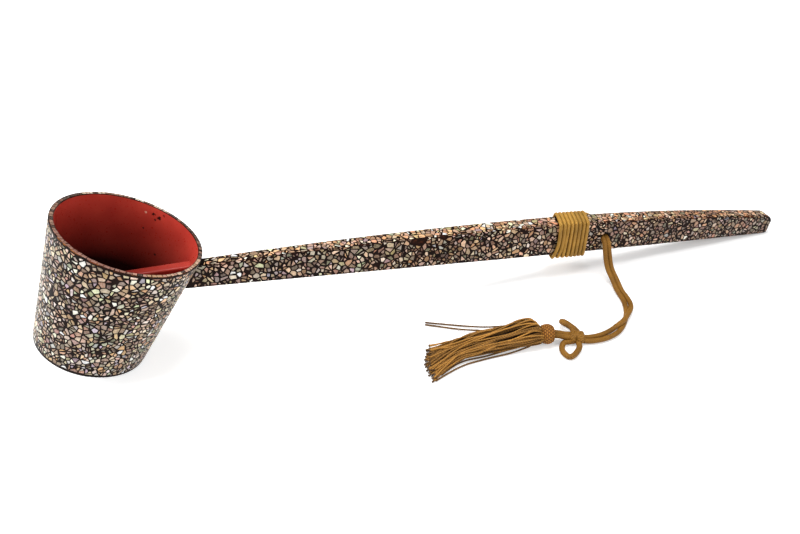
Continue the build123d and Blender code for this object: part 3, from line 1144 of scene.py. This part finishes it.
def rim_plates():
    """Narrow shell plates side by side round the mouth."""
    rng = Random(5)
    store = ([], [], [])
    verts, faces, colours = store
    mean = (RIM_INNER + RIM_OUTER) / 2
    foot, bevel_drop, top_share = WALL_TOP + 0.4, 0.03, 0.93
    turn = 0.0
    while turn < 2 * pi - 2.6 / mean:
        length = rng.uniform(1.7, 3.0)
        gap = rng.uniform(0.3, 0.6)
        low = RIM_INNER + rng.uniform(0.2, 0.55)
        high = RIM_OUTER - rng.uniform(0.25, 0.6)
        skew = rng.uniform(-0.25, 0.25) / mean
        top = WALL_TOP + 0.58 + rng.uniform(-0.02, 0.02)
        begin, end = turn, turn + length / mean
        corners = [
            (begin + skew, low),
            (end - skew * 0.5, low + rng.uniform(-0.08, 0.08)),
            (end + skew, high),
            (begin - skew * 0.5, high + rng.uniform(-0.08, 0.08)),
        ]
        start = len(verts)
        for height in (foot, top - bevel_drop):
            verts.extend(round_cup(angle, radius, height) for angle, radius in corners)
        centre_turn, centre_radius = (begin + end) / 2, (low + high) / 2
        for angle, radius in corners:
            top_turn = centre_turn + (angle - centre_turn) * top_share
            top_radius = centre_radius + (radius - centre_radius) * top_share
            verts.append(round_cup(top_turn, top_radius, top))
        faces.extend(ring_faces(start, 3, 4))
        faces.append(ring_cap(start, 2, 4))
        colours.extend([rgb(*plate_colour(rng, degrees(centre_turn)))] * 12)
        turn += (length + gap) / mean
    plates = add_chips("rim_shell_plates", store, "rim_shell")
    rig.replaces(plates, "rim_plates")


# Cord helpers


def route_points(points):
    """The smooth line of a cord through its given points, read from its own curve."""
    curve = bpy.data.curves.new("route", "CURVE")
    curve.dimensions = "3D"
    curve.resolution_u = 16
    spline = curve.splines.new("NURBS")
    spline.points.add(len(points) - 1)
    for item, point in zip(spline.points, points):
        item.co = (*point, 1)
    spline.order_u = 3
    spline.use_endpoint_u = True
    holder = add_object("route", curve)
    line = bpy.data.meshes.new_from_object(
        holder.evaluated_get(bpy.context.evaluated_depsgraph_get())
    )
    found = [vertex.co.copy() for vertex in line.vertices]
    bpy.data.objects.remove(holder)
    bpy.data.meshes.remove(line)
    return found


def even_steps(points, step):
    """Points at even steps along a line of points."""
    lengths = [0.0]
    for a, b in zip(points, points[1:]):
        lengths.append(lengths[-1] + (b - a).length)
    count = max(2, round(lengths[-1] / step))
    made = []
    index = 0
    for number in range(count + 1):
        goal = lengths[-1] * number / count
        while index < len(lengths) - 2 and lengths[index + 1] < goal:
            index += 1
        width = lengths[index + 1] - lengths[index]
        share = (goal - lengths[index]) / width if width else 0
        made.append(points[index].lerp(points[index + 1], share))
    return made


def tangents_of(path, closed):
    count = len(path)
    tangents = []
    for index in range(count):
        if closed:
            before, after = path[index - 1], path[(index + 1) % count]
        else:
            before, after = path[max(index - 1, 0)], path[min(index + 1, count - 1)]
        tangents.append((after - before).normalized())
    return tangents


def tube(path, radius, sides, relief, squash=None, closed=False):
    """Vertices, faces and groove values of a tube along a path, with a relief pattern; the groove values are painted
    shade for the relief's hollows.

    Squash is a function that gives the direction in which a place of the tube is pressed flat.
    """
    count = len(path)
    tangents = tangents_of(path, closed)
    side = tangents[0].orthogonal()
    flat_side, flat_other = (0.88, 1.08) if squash else (1, 1)
    verts, grooves = [], []
    along = 0.0
    for index, (point, tangent) in enumerate(zip(path, tangents)):
        if index:
            along += (point - path[index - 1]).length
        wanted = squash(point) if squash else side
        side = (wanted - tangent * wanted.dot(tangent)).normalized()
        other = tangent.cross(side)
        for step in range(sides):
            turn = 2 * pi * step / sides
            height, groove = relief(turn, along / MM)
            size = radius * height
            outwards = side * cos(turn) * size * flat_side
            verts.append(point + outwards + other * sin(turn) * size * flat_other)
            grooves.append(groove)
    faces = ring_faces(0, count, sides, closed)
    if not closed:
        faces.append(tuple(reversed(range(sides))))
        faces.append(ring_cap(0, count - 1, sides))
    return verts, faces, grooves


def braid(turn, along):
    """Round braid: columns of strands that slant one way and the other."""
    columns, strand_pitch, slant = 4, 1.15, 0.75
    column = (turn * columns / (2 * pi)) % 1
    phase = along / strand_pitch + slant * abs(2 * column - 1)
    ridge = sqrt(abs(sin(pi * phase)))
    # The second value is painted shade, darkest in the hollows between the strands
    return 0.91 + 0.09 * ridge, 1 - ridge


def plied(turn, along):
    """Two plies twisted together."""
    twist = 1.9
    ridge = abs(cos(turn - along * twist))
    # The second value is painted shade, darkest in the hollow between the plies
    return 0.88 + 0.12 * ridge, (1 - ridge) * 0.8


def plain(turn, along):
    """No relief, and the shade of a shallow groove."""
    return 1, 0.5


def in_metres(points):
    return [Vector(point) * MM for point in points]


def add_threads(name, parts, material, slot="gold_cord"):
    """Several (vertices, faces, grooves) as one piece."""
    verts, faces, grooves = [], [], []
    for part_verts, part_faces, part_grooves in parts:
        start = len(verts)
        verts.extend(part_verts)
        faces.extend(tuple(start + index for index in face) for face in part_faces)
        grooves.extend(part_grooves)
    return add_piece(name, verts, faces, material, slot, groove=grooves)


def add_cord(node_name, points, radius=CORD_RADIUS, squash=None, material=gold_cord):
    """A braided cord in place of a CAD node: (piece, path, length)."""
    path = even_steps(route_points(points), 0.22 * MM)
    braided = tube(path, radius * MM, 24, braid, squash)
    piece = add_threads(f"{node_name}_braid", [braided], material)
    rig.replaces(piece, node_name)
    length = sum((b - a).length for a, b in zip(path, path[1:]))
    return piece, path, length


# Winding, from the back of the handle round its top to the front; on the top its turns lean

WINDING_SEAT = 0.15
WINDING_REACH = 301.4
TURN_PITCH = 3.14
TOP_LEAN = 0.3
CORNER_INSET = 1.1
CORNER_BULGE = 0.5
# How far each turn splays towards the cup, low on the front
SPLAYS = [3.0, 1.9, 0.9, 0.3, 0, 0, 0, 0]


def winding_route():
    lift = WINDING_SEAT + TIGHT_RADIUS
    side_out = bar_width(CREST_REACH) / 2 + lift
    points = [on_bar(WINDING_REACH, side_out, CREST_HEIGHT / 2)]
    for turn_index, splay in enumerate(SPLAYS):
        for quarter in range(4):
            along = WINDING_REACH + TURN_PITCH * (turn_index + (quarter + 0.5) / 4)
            outwards = 1 if quarter in (0, 3) else -1
            upwards = 1 if quarter in (0, 1) else -1
            side = outwards * side_out
            up = bar_top(along) + lift if upwards == 1 else -lift
            if upwards == 1:
                along += TOP_LEAN * side
            if quarter == 2:
                if splay > 1:
                    points.append(on_bar(along - 0.3, side, 8.6))
                along -= splay
            # Each corner of the bar takes two points, so that the line follows it closely
            near_side = (along, side - outwards * CORNER_INSET, up + upwards * CORNER_BULGE)
            near_face = (along, side + outwards * CORNER_BULGE, up - upwards * CORNER_INSET)
            pair = (near_face, near_side) if quarter in (0, 2) else (near_side, near_face)
            points.extend(on_bar(*point) for point in pair)
    winding_end = WINDING_REACH + TURN_PITCH * len(SPLAYS)
    points.append(on_bar(winding_end, side_out, CREST_HEIGHT / 2))
    return points


def from_bar_axis(point):
    """Direction straight away from the nearest face or edge of the bar."""
    along, side, up = bar_place(point)
    half = bar_half_width(along) - EDGE_ROUND
    low, high = EDGE_ROUND, bar_top(along) - EDGE_ROUND
    out_side = side - min(max(side, -half), half)
    out_up = up - min(max(up, low), high)
    return Vector((0, out_side, 0)) + BAR_UP * out_up


winding_points = winding_route()
winding, winding_path, winding_length = add_cord(
    "cord_winding", winding_points, TIGHT_RADIUS, from_bar_axis, winding_cord
)

# The two links, from the ends of the winding into the back of the cord hole

HALF_PITCH = 1.525
LEFT_REACH = HOLE_REACH - HALF_PITCH
RIGHT_REACH = HOLE_REACH + HALF_PITCH
end_run = (winding_points[-1] - winding_points[-2]).normalized()
start_run = (winding_points[1] - winding_points[0]).normalized()
direct_points = [
    winding_points[-1],
    winding_points[-1] + end_run * 4.4 * MM,
    on_bar(329.8, 8.6, 19.2),
    on_bar(335.6, 9.8, 16.2),
    on_bar(LEFT_REACH, 10.8, HOLE_HEIGHT),
    on_bar(LEFT_REACH, 0, HOLE_HEIGHT),
]
link_direct, _, _ = add_cord(
    "cord_link_direct", direct_points, TIGHT_RADIUS, material=winding_cord
)
over_points = [
    winding_points[0],
    winding_points[0] - start_run * 4.0 * MM,
    on_bar(298.6, 10.6, 4.6),
    on_bar(302.6, 11.8, 2.2),
    on_bar(307.4, 11.6, 6.0),
    on_bar(311.8, 11.3, 12.4),
    on_bar(315.4, 11.0, 18.6),
    on_bar(319.8, 10.7, 23.4),
    on_bar(325.4, 10.5, 24.6),
    on_bar(331.8, 10.2, 23.0),
    on_bar(338.0, 10.4, 20.2),
    on_bar(342.8, 11.0, 17.0),
    on_bar(RIGHT_REACH, 10.8, HOLE_HEIGHT),
    on_bar(RIGHT_REACH, 0, HOLE_HEIGHT),
]
link_over, over_path, over_length = add_cord(
    "cord_link_over", over_points, TIGHT_RADIUS, material=winding_cord
)

# The two strands from the hole to the bow, and the bow's loops

KNOT_TURN = radians(-15)
KNOT_END, KNOT_SIDE = 4.8, 4.2
knot_along = Vector((cos(KNOT_TURN), sin(KNOT_TURN), 0))
knot_across = Vector((-sin(KNOT_TURN), cos(KNOT_TURN), 0))


def on_knot(along, across, height):
    """Point in metres, given along the knot from its middle, across it and above the table."""
    return (Vector((56.6, -75.8, height)) + knot_along * along + knot_across * across) * MM


strand_left_points = [
    on_bar(LEFT_REACH, 0, HOLE_HEIGHT),
    on_bar(LEFT_REACH, -8.4, HOLE_HEIGHT),
    *in_metres([
        (111.0, -16.4, 18.7), (111.0, -21.8, 10.2), (112.7, -28.8, 4.0),
        (110.6, -38.6, 1.85), (109.4, -48.6, 1.85), (106.1, -57.6, 1.85),
        (101.5, -64.9, 1.85), (95.8, -71.4, 1.85), (89.6, -76.5, 1.85),
        (83.5, -79.4, 1.85), (75.4, -81.2, 1.85),
    ]),
    on_knot(10.3, -2.6, 2.2),
    on_knot(KNOT_END, -2.4, 2.2),
    on_knot(1.8, -1.6, 2.6),
]
strand_left, left_path, left_length = add_cord("cord_strand_left", strand_left_points)
strand_right_points = [
    on_bar(RIGHT_REACH, 0, HOLE_HEIGHT),
    on_bar(RIGHT_REACH, -8.4, HOLE_HEIGHT),
    *in_metres([
        (114.6, -16.4, 18.0), (114.4, -21.8, 9.8), (115.7, -29.8, 4.1),
        (113.7, -39.8, 1.85), (113.1, -49.6, 1.85), (110.5, -57.4, 2.0),
        (102.6, -65.3, 4.6), (95.2, -71.2, 4.8), (89.4, -73.3, 3.8),
        (82.2, -75.3, 1.85), (74.2, -77.0, 1.85),
    ]),
    on_knot(10.3, 1.3, 2.2),
    on_knot(KNOT_END, 1.2, 2.2),
    on_knot(1.8, 0.7, 2.6),
]
strand_right, right_path, right_length = add_cord("cord_strand_right", strand_right_points)
front_points = [
    on_knot(-1.8, -2.0, 2.6),
    on_knot(-KNOT_END, -2.7, 2.2),
    on_knot(-KNOT_END - 4.0, -2.7, 2.2),
    *in_metres([
        (43.9, -79.6, 1.85), (42.3, -84.4, 1.85), (43.9, -90.2, 1.85), (48.9, -88.6, 1.85),
    ]),
    on_knot(0.6, -KNOT_SIDE - 3.8, 2.2),
    on_knot(0.6, -KNOT_SIDE, 2.2),
    on_knot(0.6, -1.6, 2.6),
]
loop_front, front_path, front_length = add_cord("bow_loop_front", front_points, LOOP_RADIUS)
back_points = [
    on_knot(2.4, 1.6, 2.6),
    on_knot(2.6, KNOT_SIDE, 2.2),
    on_knot(2.6, KNOT_SIDE + 4.0, 2.2),
    *in_metres([(58.0, -57.6, 1.85), (52.8, -60.0, 5.4)]),
    on_knot(-1.4, KNOT_SIDE + 4.0, 5.4),
    on_knot(-1.4, KNOT_SIDE, 5.4),
    on_knot(-1.2, 1.6, 4.6),
]
loop_back, back_path, back_length = add_cord("bow_loop_back", back_points, LOOP_RADIUS)

# The two short cords from the knot to the tassel

TASSEL_TURN = radians(162.5)
tassel_along = Vector((cos(TASSEL_TURN), sin(TASSEL_TURN), 0))
tassel_across = Vector((-sin(TASSEL_TURN), cos(TASSEL_TURN), 0))
head_start = Vector((41.8, -71.5, 6.75))


def tassel_cord(node_name, in_knot, at_knot, at_head):
    """A short cord, given by how far to one side it lies in the knot, behind it and at the head."""
    head_end = head_start + tassel_across * at_head
    before_head = head_start - tassel_along * 3.0 + tassel_across * at_head
    points = [
        on_knot(-1.8, in_knot, 4.4),
        on_knot(-KNOT_END, at_knot, 4.9),
        on_knot(-KNOT_END - 3.0, at_knot, 4.9),
        *in_metres([before_head, head_end]),
    ]
    return add_cord(node_name, points)[0]


short_left = tassel_cord("tassel_cord_left", 1.6, 2.0, -HALF_PITCH)
short_right = tassel_cord("tassel_cord_right", -0.8, -1.05, HALF_PITCH)

# Knot and tassel


def ring_path(centre, first, second, count=90):
    """A closed oval about a centre, given by its two half axes."""
    turns = [2 * pi * index / count for index in range(count)]
    return [(centre + first * cos(turn) + second * sin(turn)) * MM for turn in turns]


# Ovals of the knot: middle and two half axes, each along the knot, across it and up
KNOT_OVALS = [
    ((2.6, -0.2, 3.5), (0.6, 3.0, 0.3), (0.5, -0.2, 2.0)),
    ((0.1, 0.2, 3.7), (-0.9, 3.0, -0.2), (0.4, 0.2, 2.2)),
    ((-2.6, 0.0, 3.6), (0.5, 2.8, 0.2), (-0.4, 0.1, 2.0)),
    ((0.4, -0.3, 4.0), (3.0, 1.9, 0.2), (-0.6, 0.5, 1.85)),
]


def knot():
    """The turns of the knot: closed ovals round the cords that pass through it."""
    parts = []
    for middle, *axes in KNOT_OVALS:
        ways = [
            knot_along * along + knot_across * across + Vector((0, 0, up))
            for along, across, up in axes
        ]
        path = ring_path(on_knot(*middle) / MM, *ways)
        parts.append(tube(path, LOOP_RADIUS * MM, 20, braid, closed=True))
    piece = add_threads("bow_knot_turns", parts, gold_cord)
    facing_out(piece)
    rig.replaces(piece, "bow_knot")
    return piece


def tassel_head():
    """Basket-woven ball: rows of small raised stitches, every other row shifted."""
    rows, around = 60, 144
    length = 8.6
    middle_radius, start_radius, end_radius = 6.7, 3.5, 4.6
    stitch_rows, stitches_around, stitch_height = 7, 9, 0.5
    verts, grooves = [], []
    for row in range(rows + 1):
        share = row / rows
        bulge = sin(pi * min(max(share * 0.94 + 0.03, 0), 1)) ** 0.62
        base = start_radius + (end_radius - start_radius) * share
        radius = base + (middle_radius - 0.25 - base) * bulge
        stitch_row = share * stitch_rows
        shift = pi * (int(stitch_row) % 2)
        for step in range(around):
            turn = 2 * pi * step / around
            column = abs(sin(turn * stitches_around + shift / 2)) ** 0.6
            stitch = column * abs(sin(pi * stitch_row)) ** 0.6
            size = radius - 0.14 + stitch_height * stitch
            level = head_start + tassel_along * (length * share)
            beside = tassel_across * size * cos(turn)
            verts.append((level + beside + Vector((0, 0, size * sin(turn)))) * MM)
            # Painted shade: the hollows between the stitches are darkened through the groove value
            grooves.append(min(1, (1 - stitch) * 1.1))
    faces = ring_faces(0, rows + 1, around)
    faces.append(ring_cap(0, 0, around))
    faces.append(ring_cap(0, rows, around))
    piece = add_threads("tassel_head_weave", [(verts, faces, grooves)], head_cord)
    facing_out(piece)
    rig.replaces(piece, "tassel_head")
    return piece


def tassel_neck():
    """Three turns of thread that bind the strands behind the head."""
    reach, radius, thread_radius = 9.4, 4.5, 0.32
    centre = head_start + tassel_along * reach
    across, up = tassel_across * radius, Vector((0, 0, radius))
    parts = []
    for offset in (-0.55, 0.0, 0.55):
        path = ring_path(centre + tassel_along * offset, across, up, 120)
        parts.append(tube(path, thread_radius * MM, 10, plied, closed=True))
    piece = add_threads("tassel_neck_binding", parts, gold_cord)
    facing_out(piece)
    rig.replaces(piece, "tassel_neck")
    return piece


# Sections of the tassel's skirt as it lies on the table: x, y, width, height and lowest place
SKIRT = [
    (33.6, -68.8, 9.0, 8.6, 2.4),
    (32.6, -67.9, 17.4, 14.2, 0.5),
    (29.8, -66.4, 21.6, 16.2, 0.1),
    (22.0, -65.9, 21.6, 16.2, 0.1),
    (13.0, -66.0, 20.0, 14.8, 0.1),
    (4.0, -65.2, 19.6, 13.0, 0.1),
    (-5.0, -64.4, 20.4, 11.6, 0.1),
    (-13.0, -63.9, 21.0, 10.4, 0.1),
    (-21.0, -64.0, 20.6, 8.8, 0.1),
    (-28.0, -64.4, 22.0, 7.0, 0.1),
    (-36.0, -65.8, 28.0, 5.0, 0.1),
    (-46.5, -67.4, 34.6, 3.4, 0.1),
]
# Single strands that lie apart, as points on the table in millimetres
STRAYS = [
    [(24.0, -59.5, 10.0), (12.0, -55.5, 7.5), (2.0, -47.4, 2.6), (-8.3, -40.8, 0.8),
     (-19.8, -35.5, 0.8), (-32.4, -29.6, 0.8)],
    [(22.0, -60.5, 8.0), (10.0, -57.0, 6.0), (-2.0, -50.4, 3.0), (-14.2, -42.2, 0.8),
     (-23.2, -37.2, 0.8), (-33.2, -31.8, 0.8)],
    [(24.0, -74.0, 3.0), (11.6, -74.6, 1.0), (-0.6, -74.2, 0.8), (-11.2, -74.6, 0.8),
     (-21.8, -75.2, 0.8), (-33.2, -78.6, 0.8), (-43.6, -82.9, 0.8)],
    [(14.0, -72.5, 3.0), (-3.6, -72.9, 1.6), (-12.1, -72.6, 1.4), (-20.4, -72.2, 1.4),
     (-29.8, -74.4, 1.0), (-38.6, -79.2, 0.8)],
]
STRAND_COUNT = 120
STRAND_RADIUS = 0.52
STRAND_SIDES = 8


def strand_route(rng, level, turn):
    """Points of one strand; level is 0 in the middle of the skirt and 1 at its outside."""
    last = len(SKIRT) - 1
    fan_start = 0.68
    swirl = rng.gauss(0, 0.75)
    goal = min(max(0.5 * level * cos(turn) + rng.gauss(-0.06, 0.42), -1), 1)
    reach = last - 0.75 * max(goal, 0) - rng.uniform(0, 0.45)
    points = []
    for station, (x, y, width, height, low) in enumerate(SKIRT):
        share = station / last
        turned = turn + swirl * share
        out = min(level * (1 + rng.gauss(0, 0.13)), 1.0)
        fan = max(0.0, (share - fan_start) / 0.32) ** 1.2
        across = out * cos(turned) * (1 - fan) + goal * fan
        up = out * sin(turned)
        z = low + height / 2 + up * (height / 2 - STRAND_RADIUS)
        beside = across * (width / 2 - STRAND_RADIUS)
        point = Vector((x, y + beside, max(z, STRAND_RADIUS + 0.05)))
        if station > reach:
            share_left = max(1 - (station - reach), 0.2)
            points.append(points[-1].lerp(point, share_left))
            break
        points.append(point)
    return points


def strand_tube(route, radius):
    """The tube of a strand, and a short plain one over its cut end."""
    path = even_steps(route_points(in_metres(route)), 0.9 * MM)
    tip = path[-1]
    overlap = (tip - path[-2]).normalized() * 0.4 * MM
    end_path = [tip - overlap, tip, tip + overlap]
    end = tube(end_path, (STRAND_RADIUS + 0.04) * MM, STRAND_SIDES, plain)
    return tube(path, radius * MM, STRAND_SIDES, plied), end


def strands():
    """The skirt of the tassel: a bundle of strands, a few that lie apart, and their cut ends."""
    rng = Random(3)
    golden = pi * (3 - sqrt(5))
    parts, ends = [], []
    for index in range(STRAND_COUNT):
        level = sqrt((index + 0.5) / STRAND_COUNT)
        route = strand_route(rng, level, golden * index)
        (verts, faces, grooves), end = strand_tube(route, STRAND_RADIUS)
        # Strands inside the bundle are darker, as little light comes to them
        depth = min(max((0.88 - level) * 3.2, 0), 0.95) + rng.uniform(-0.3, 0.5)
        fade = [1 - 0.6 * at / len(grooves) for at in range(len(grooves))]
        shades = [min(max(groove + depth * f, 0), 1) for groove, f in zip(grooves, fade)]
        parts.append((verts, faces, shades))
        ends.append(end)
    for route in STRAYS:
        (verts, faces, grooves), end = strand_tube(route, 1.15 * STRAND_RADIUS)
        parts.append((verts, faces, [min(groove + 0.5, 1) for groove in grooves]))
        ends.append(end)
    piece = add_threads("tassel_strands", parts, tassel_thread, "tassel_threads")
    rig.replaces(piece, "tassel_skirt")
    add_threads("tassel_strand_ends", ends, cut_ends, "tassel_threads")


knot_piece = knot()
head_piece = tassel_head()
neck_piece = tassel_neck()
strands()

cup_chips()
handle_chips()
handle_lacquer()
rim_lacquer()
rim_plates()

paint(black_lacquer, "cup_wall", "cup_inlay_skin", "cup_bottom")
paint(red_lacquer, "cup_lining", "tang_coat")
paint(plain_wood, "tang_wedge", "handle_core")

diameter = 2 * CORD_RADIUS * MM
tight_diameter = 2 * TIGHT_RADIUS * MM
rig.cord(
    winding, exit=winding_path[0], length=winding_length, diameter=tight_diameter,
    far_end="object", stiffness="limp", lay="coiled", path=winding_path,
    with_pieces=[link_direct],
)
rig.cord(
    link_over, exit=over_path[0], length=over_length, diameter=tight_diameter,
    far_end="object", stiffness="limp", lay="loose", path=over_path,
)
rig.cord(
    strand_left, exit=left_path[0], length=left_length, diameter=diameter,
    far_end="knot", stiffness="limp", lay="loose", path=left_path,
    with_pieces=[knot_piece, short_left, short_right, head_piece, neck_piece],
)
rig.cord(
    strand_right, exit=right_path[0], length=right_length, diameter=diameter,
    far_end="knot", stiffness="limp", lay="loose", path=right_path,
)
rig.cord(
    loop_front, exit=front_path[0], length=front_length, diameter=diameter,
    far_end="knot", stiffness="limp", lay="loose", path=front_path,
)
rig.cord(
    loop_back, exit=back_path[0], length=back_length, diameter=diameter,
    far_end="knot", stiffness="limp", lay="loose", path=back_path,
)

# Floor, light and camera, in metres


def floor():
    """A pale floor with its own glow, seen only by camera and glossy rays: painted light that is faint near the
    handle's tip and strong far from it, so that shadows stay deep by the tip and turn white farther off.
    """
    size, drop = 6.0, -0.0002
    mesh = bpy.data.meshes.new("floor")
    corners = [(-size, -size, drop), (size, -size, drop), (size, size, drop), (-size, size, drop)]
    mesh.from_pydata(corners, [], [(0, 1, 2, 3)])
    material, tree, shader = new_material("pale_floor")
    looks = {
        "Base Color": (0.86, 0.86, 0.86, 1),
        "Roughness": 0.9,
        "Specular IOR Level": 0.0,
    }
    fill(tree, shader, looks)
    ray = node(tree, "ShaderNodeLightPath").outputs
    seen = numbers(tree, "MAXIMUM", ray["Is Camera Ray"], ray["Is Glossy Ray"])
    place = node(tree, "ShaderNodeNewGeometry").outputs["Position"]
    # Painted light: the glow fills the floor's shadows little near the handle's tip and more far from it
    from_tip = vectors(tree, "DISTANCE", place, (0.25, 0.0, 0.0), "Value")
    level = span(tree, from_tip, 0.05, 0.75, 0.22, 0.92)
    strength = numbers(tree, "MULTIPLY", seen, level)
    glow = node(tree, "ShaderNodeEmission", {"Strength": strength}).outputs[0]
    both = node(tree, "ShaderNodeAddShader", {0: shader.outputs[0], 1: glow}).outputs[0]
    fill(tree, tree.nodes["Material Output"], {"Surface": both})
    mesh.materials.append(material)
    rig.stage(add_object("floor", mesh))


def area_light(name, place, target, size, power):
    light = bpy.data.lights.new(name, "AREA")
    light.shape = "DISK"
    light.size = size
    light.energy = power
    holder = add_object(name, light)
    holder.location = place
    aim = Vector(target) - Vector(place)
    holder.rotation_euler = aim.to_track_quat("-Z", "Y").to_euler()


def world():
    """White where the camera sees it, and a weaker light on the object."""
    made = bpy.data.worlds.new("studio")
    bpy.context.scene.world = made
    made.use_nodes = True
    tree = made.node_tree
    seen = node(tree, "ShaderNodeLightPath").outputs["Is Camera Ray"]
    looks = {"Color": (1, 1, 1, 1), "Strength": span(tree, seen, 0.0, 1.0, 0.3, 1.0)}
    fill(tree, tree.nodes["Background"], looks)


def camera():
    """The camera that was fitted to the photo."""
    place = Vector((-146.424, -346.36, 294.2)) * MM
    elevation, azimuth, roll = radians(36.14), radians(16.85), -0.0034
    data = bpy.data.cameras.new("camera")
    data.sensor_fit = "HORIZONTAL"
    data.sensor_width = 36.0
    data.lens = 29.26
    data.shift_x, data.shift_y = -0.0002, -0.00115
    data.clip_start = 0.01
    data.clip_end = 20
    holder = add_object("camera", data)
    level_forward = Vector((sin(azimuth), cos(azimuth), 0)) * cos(elevation)
    forward = level_forward + Vector((0, 0, -sin(elevation)))
    right = Vector((cos(azimuth), -sin(azimuth), 0))
    up = right.cross(forward)
    turn = Matrix((right, up, -forward)).transposed().to_4x4()
    rolled = turn @ Matrix.Rotation(roll, 4, "Z")
    holder.matrix_world = Matrix.Translation(place) @ rolled
    bpy.context.scene.camera = holder


floor()
world()
area_light("key", (-1.05, 0.1, 1.0), (-0.1, 0.0, 0.0), 1.0, 13)
area_light("top", (0.0, 0.12, 1.4), (0.0, 0.0, 0.0), 0.8, 14)
area_light("fill", (0.75, -0.95, 0.75), (0.0, 0.0, 0.0), 0.9, 8)
camera()
bpy.context.scene.view_settings.view_transform = "Standard"

with open("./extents.json", "w") as file:
    json.dump(
        {
            "cad": [list(corner) for corner in cad_box],
            "visual": [list(corner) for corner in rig.bounds()],
        },
        file,
    )
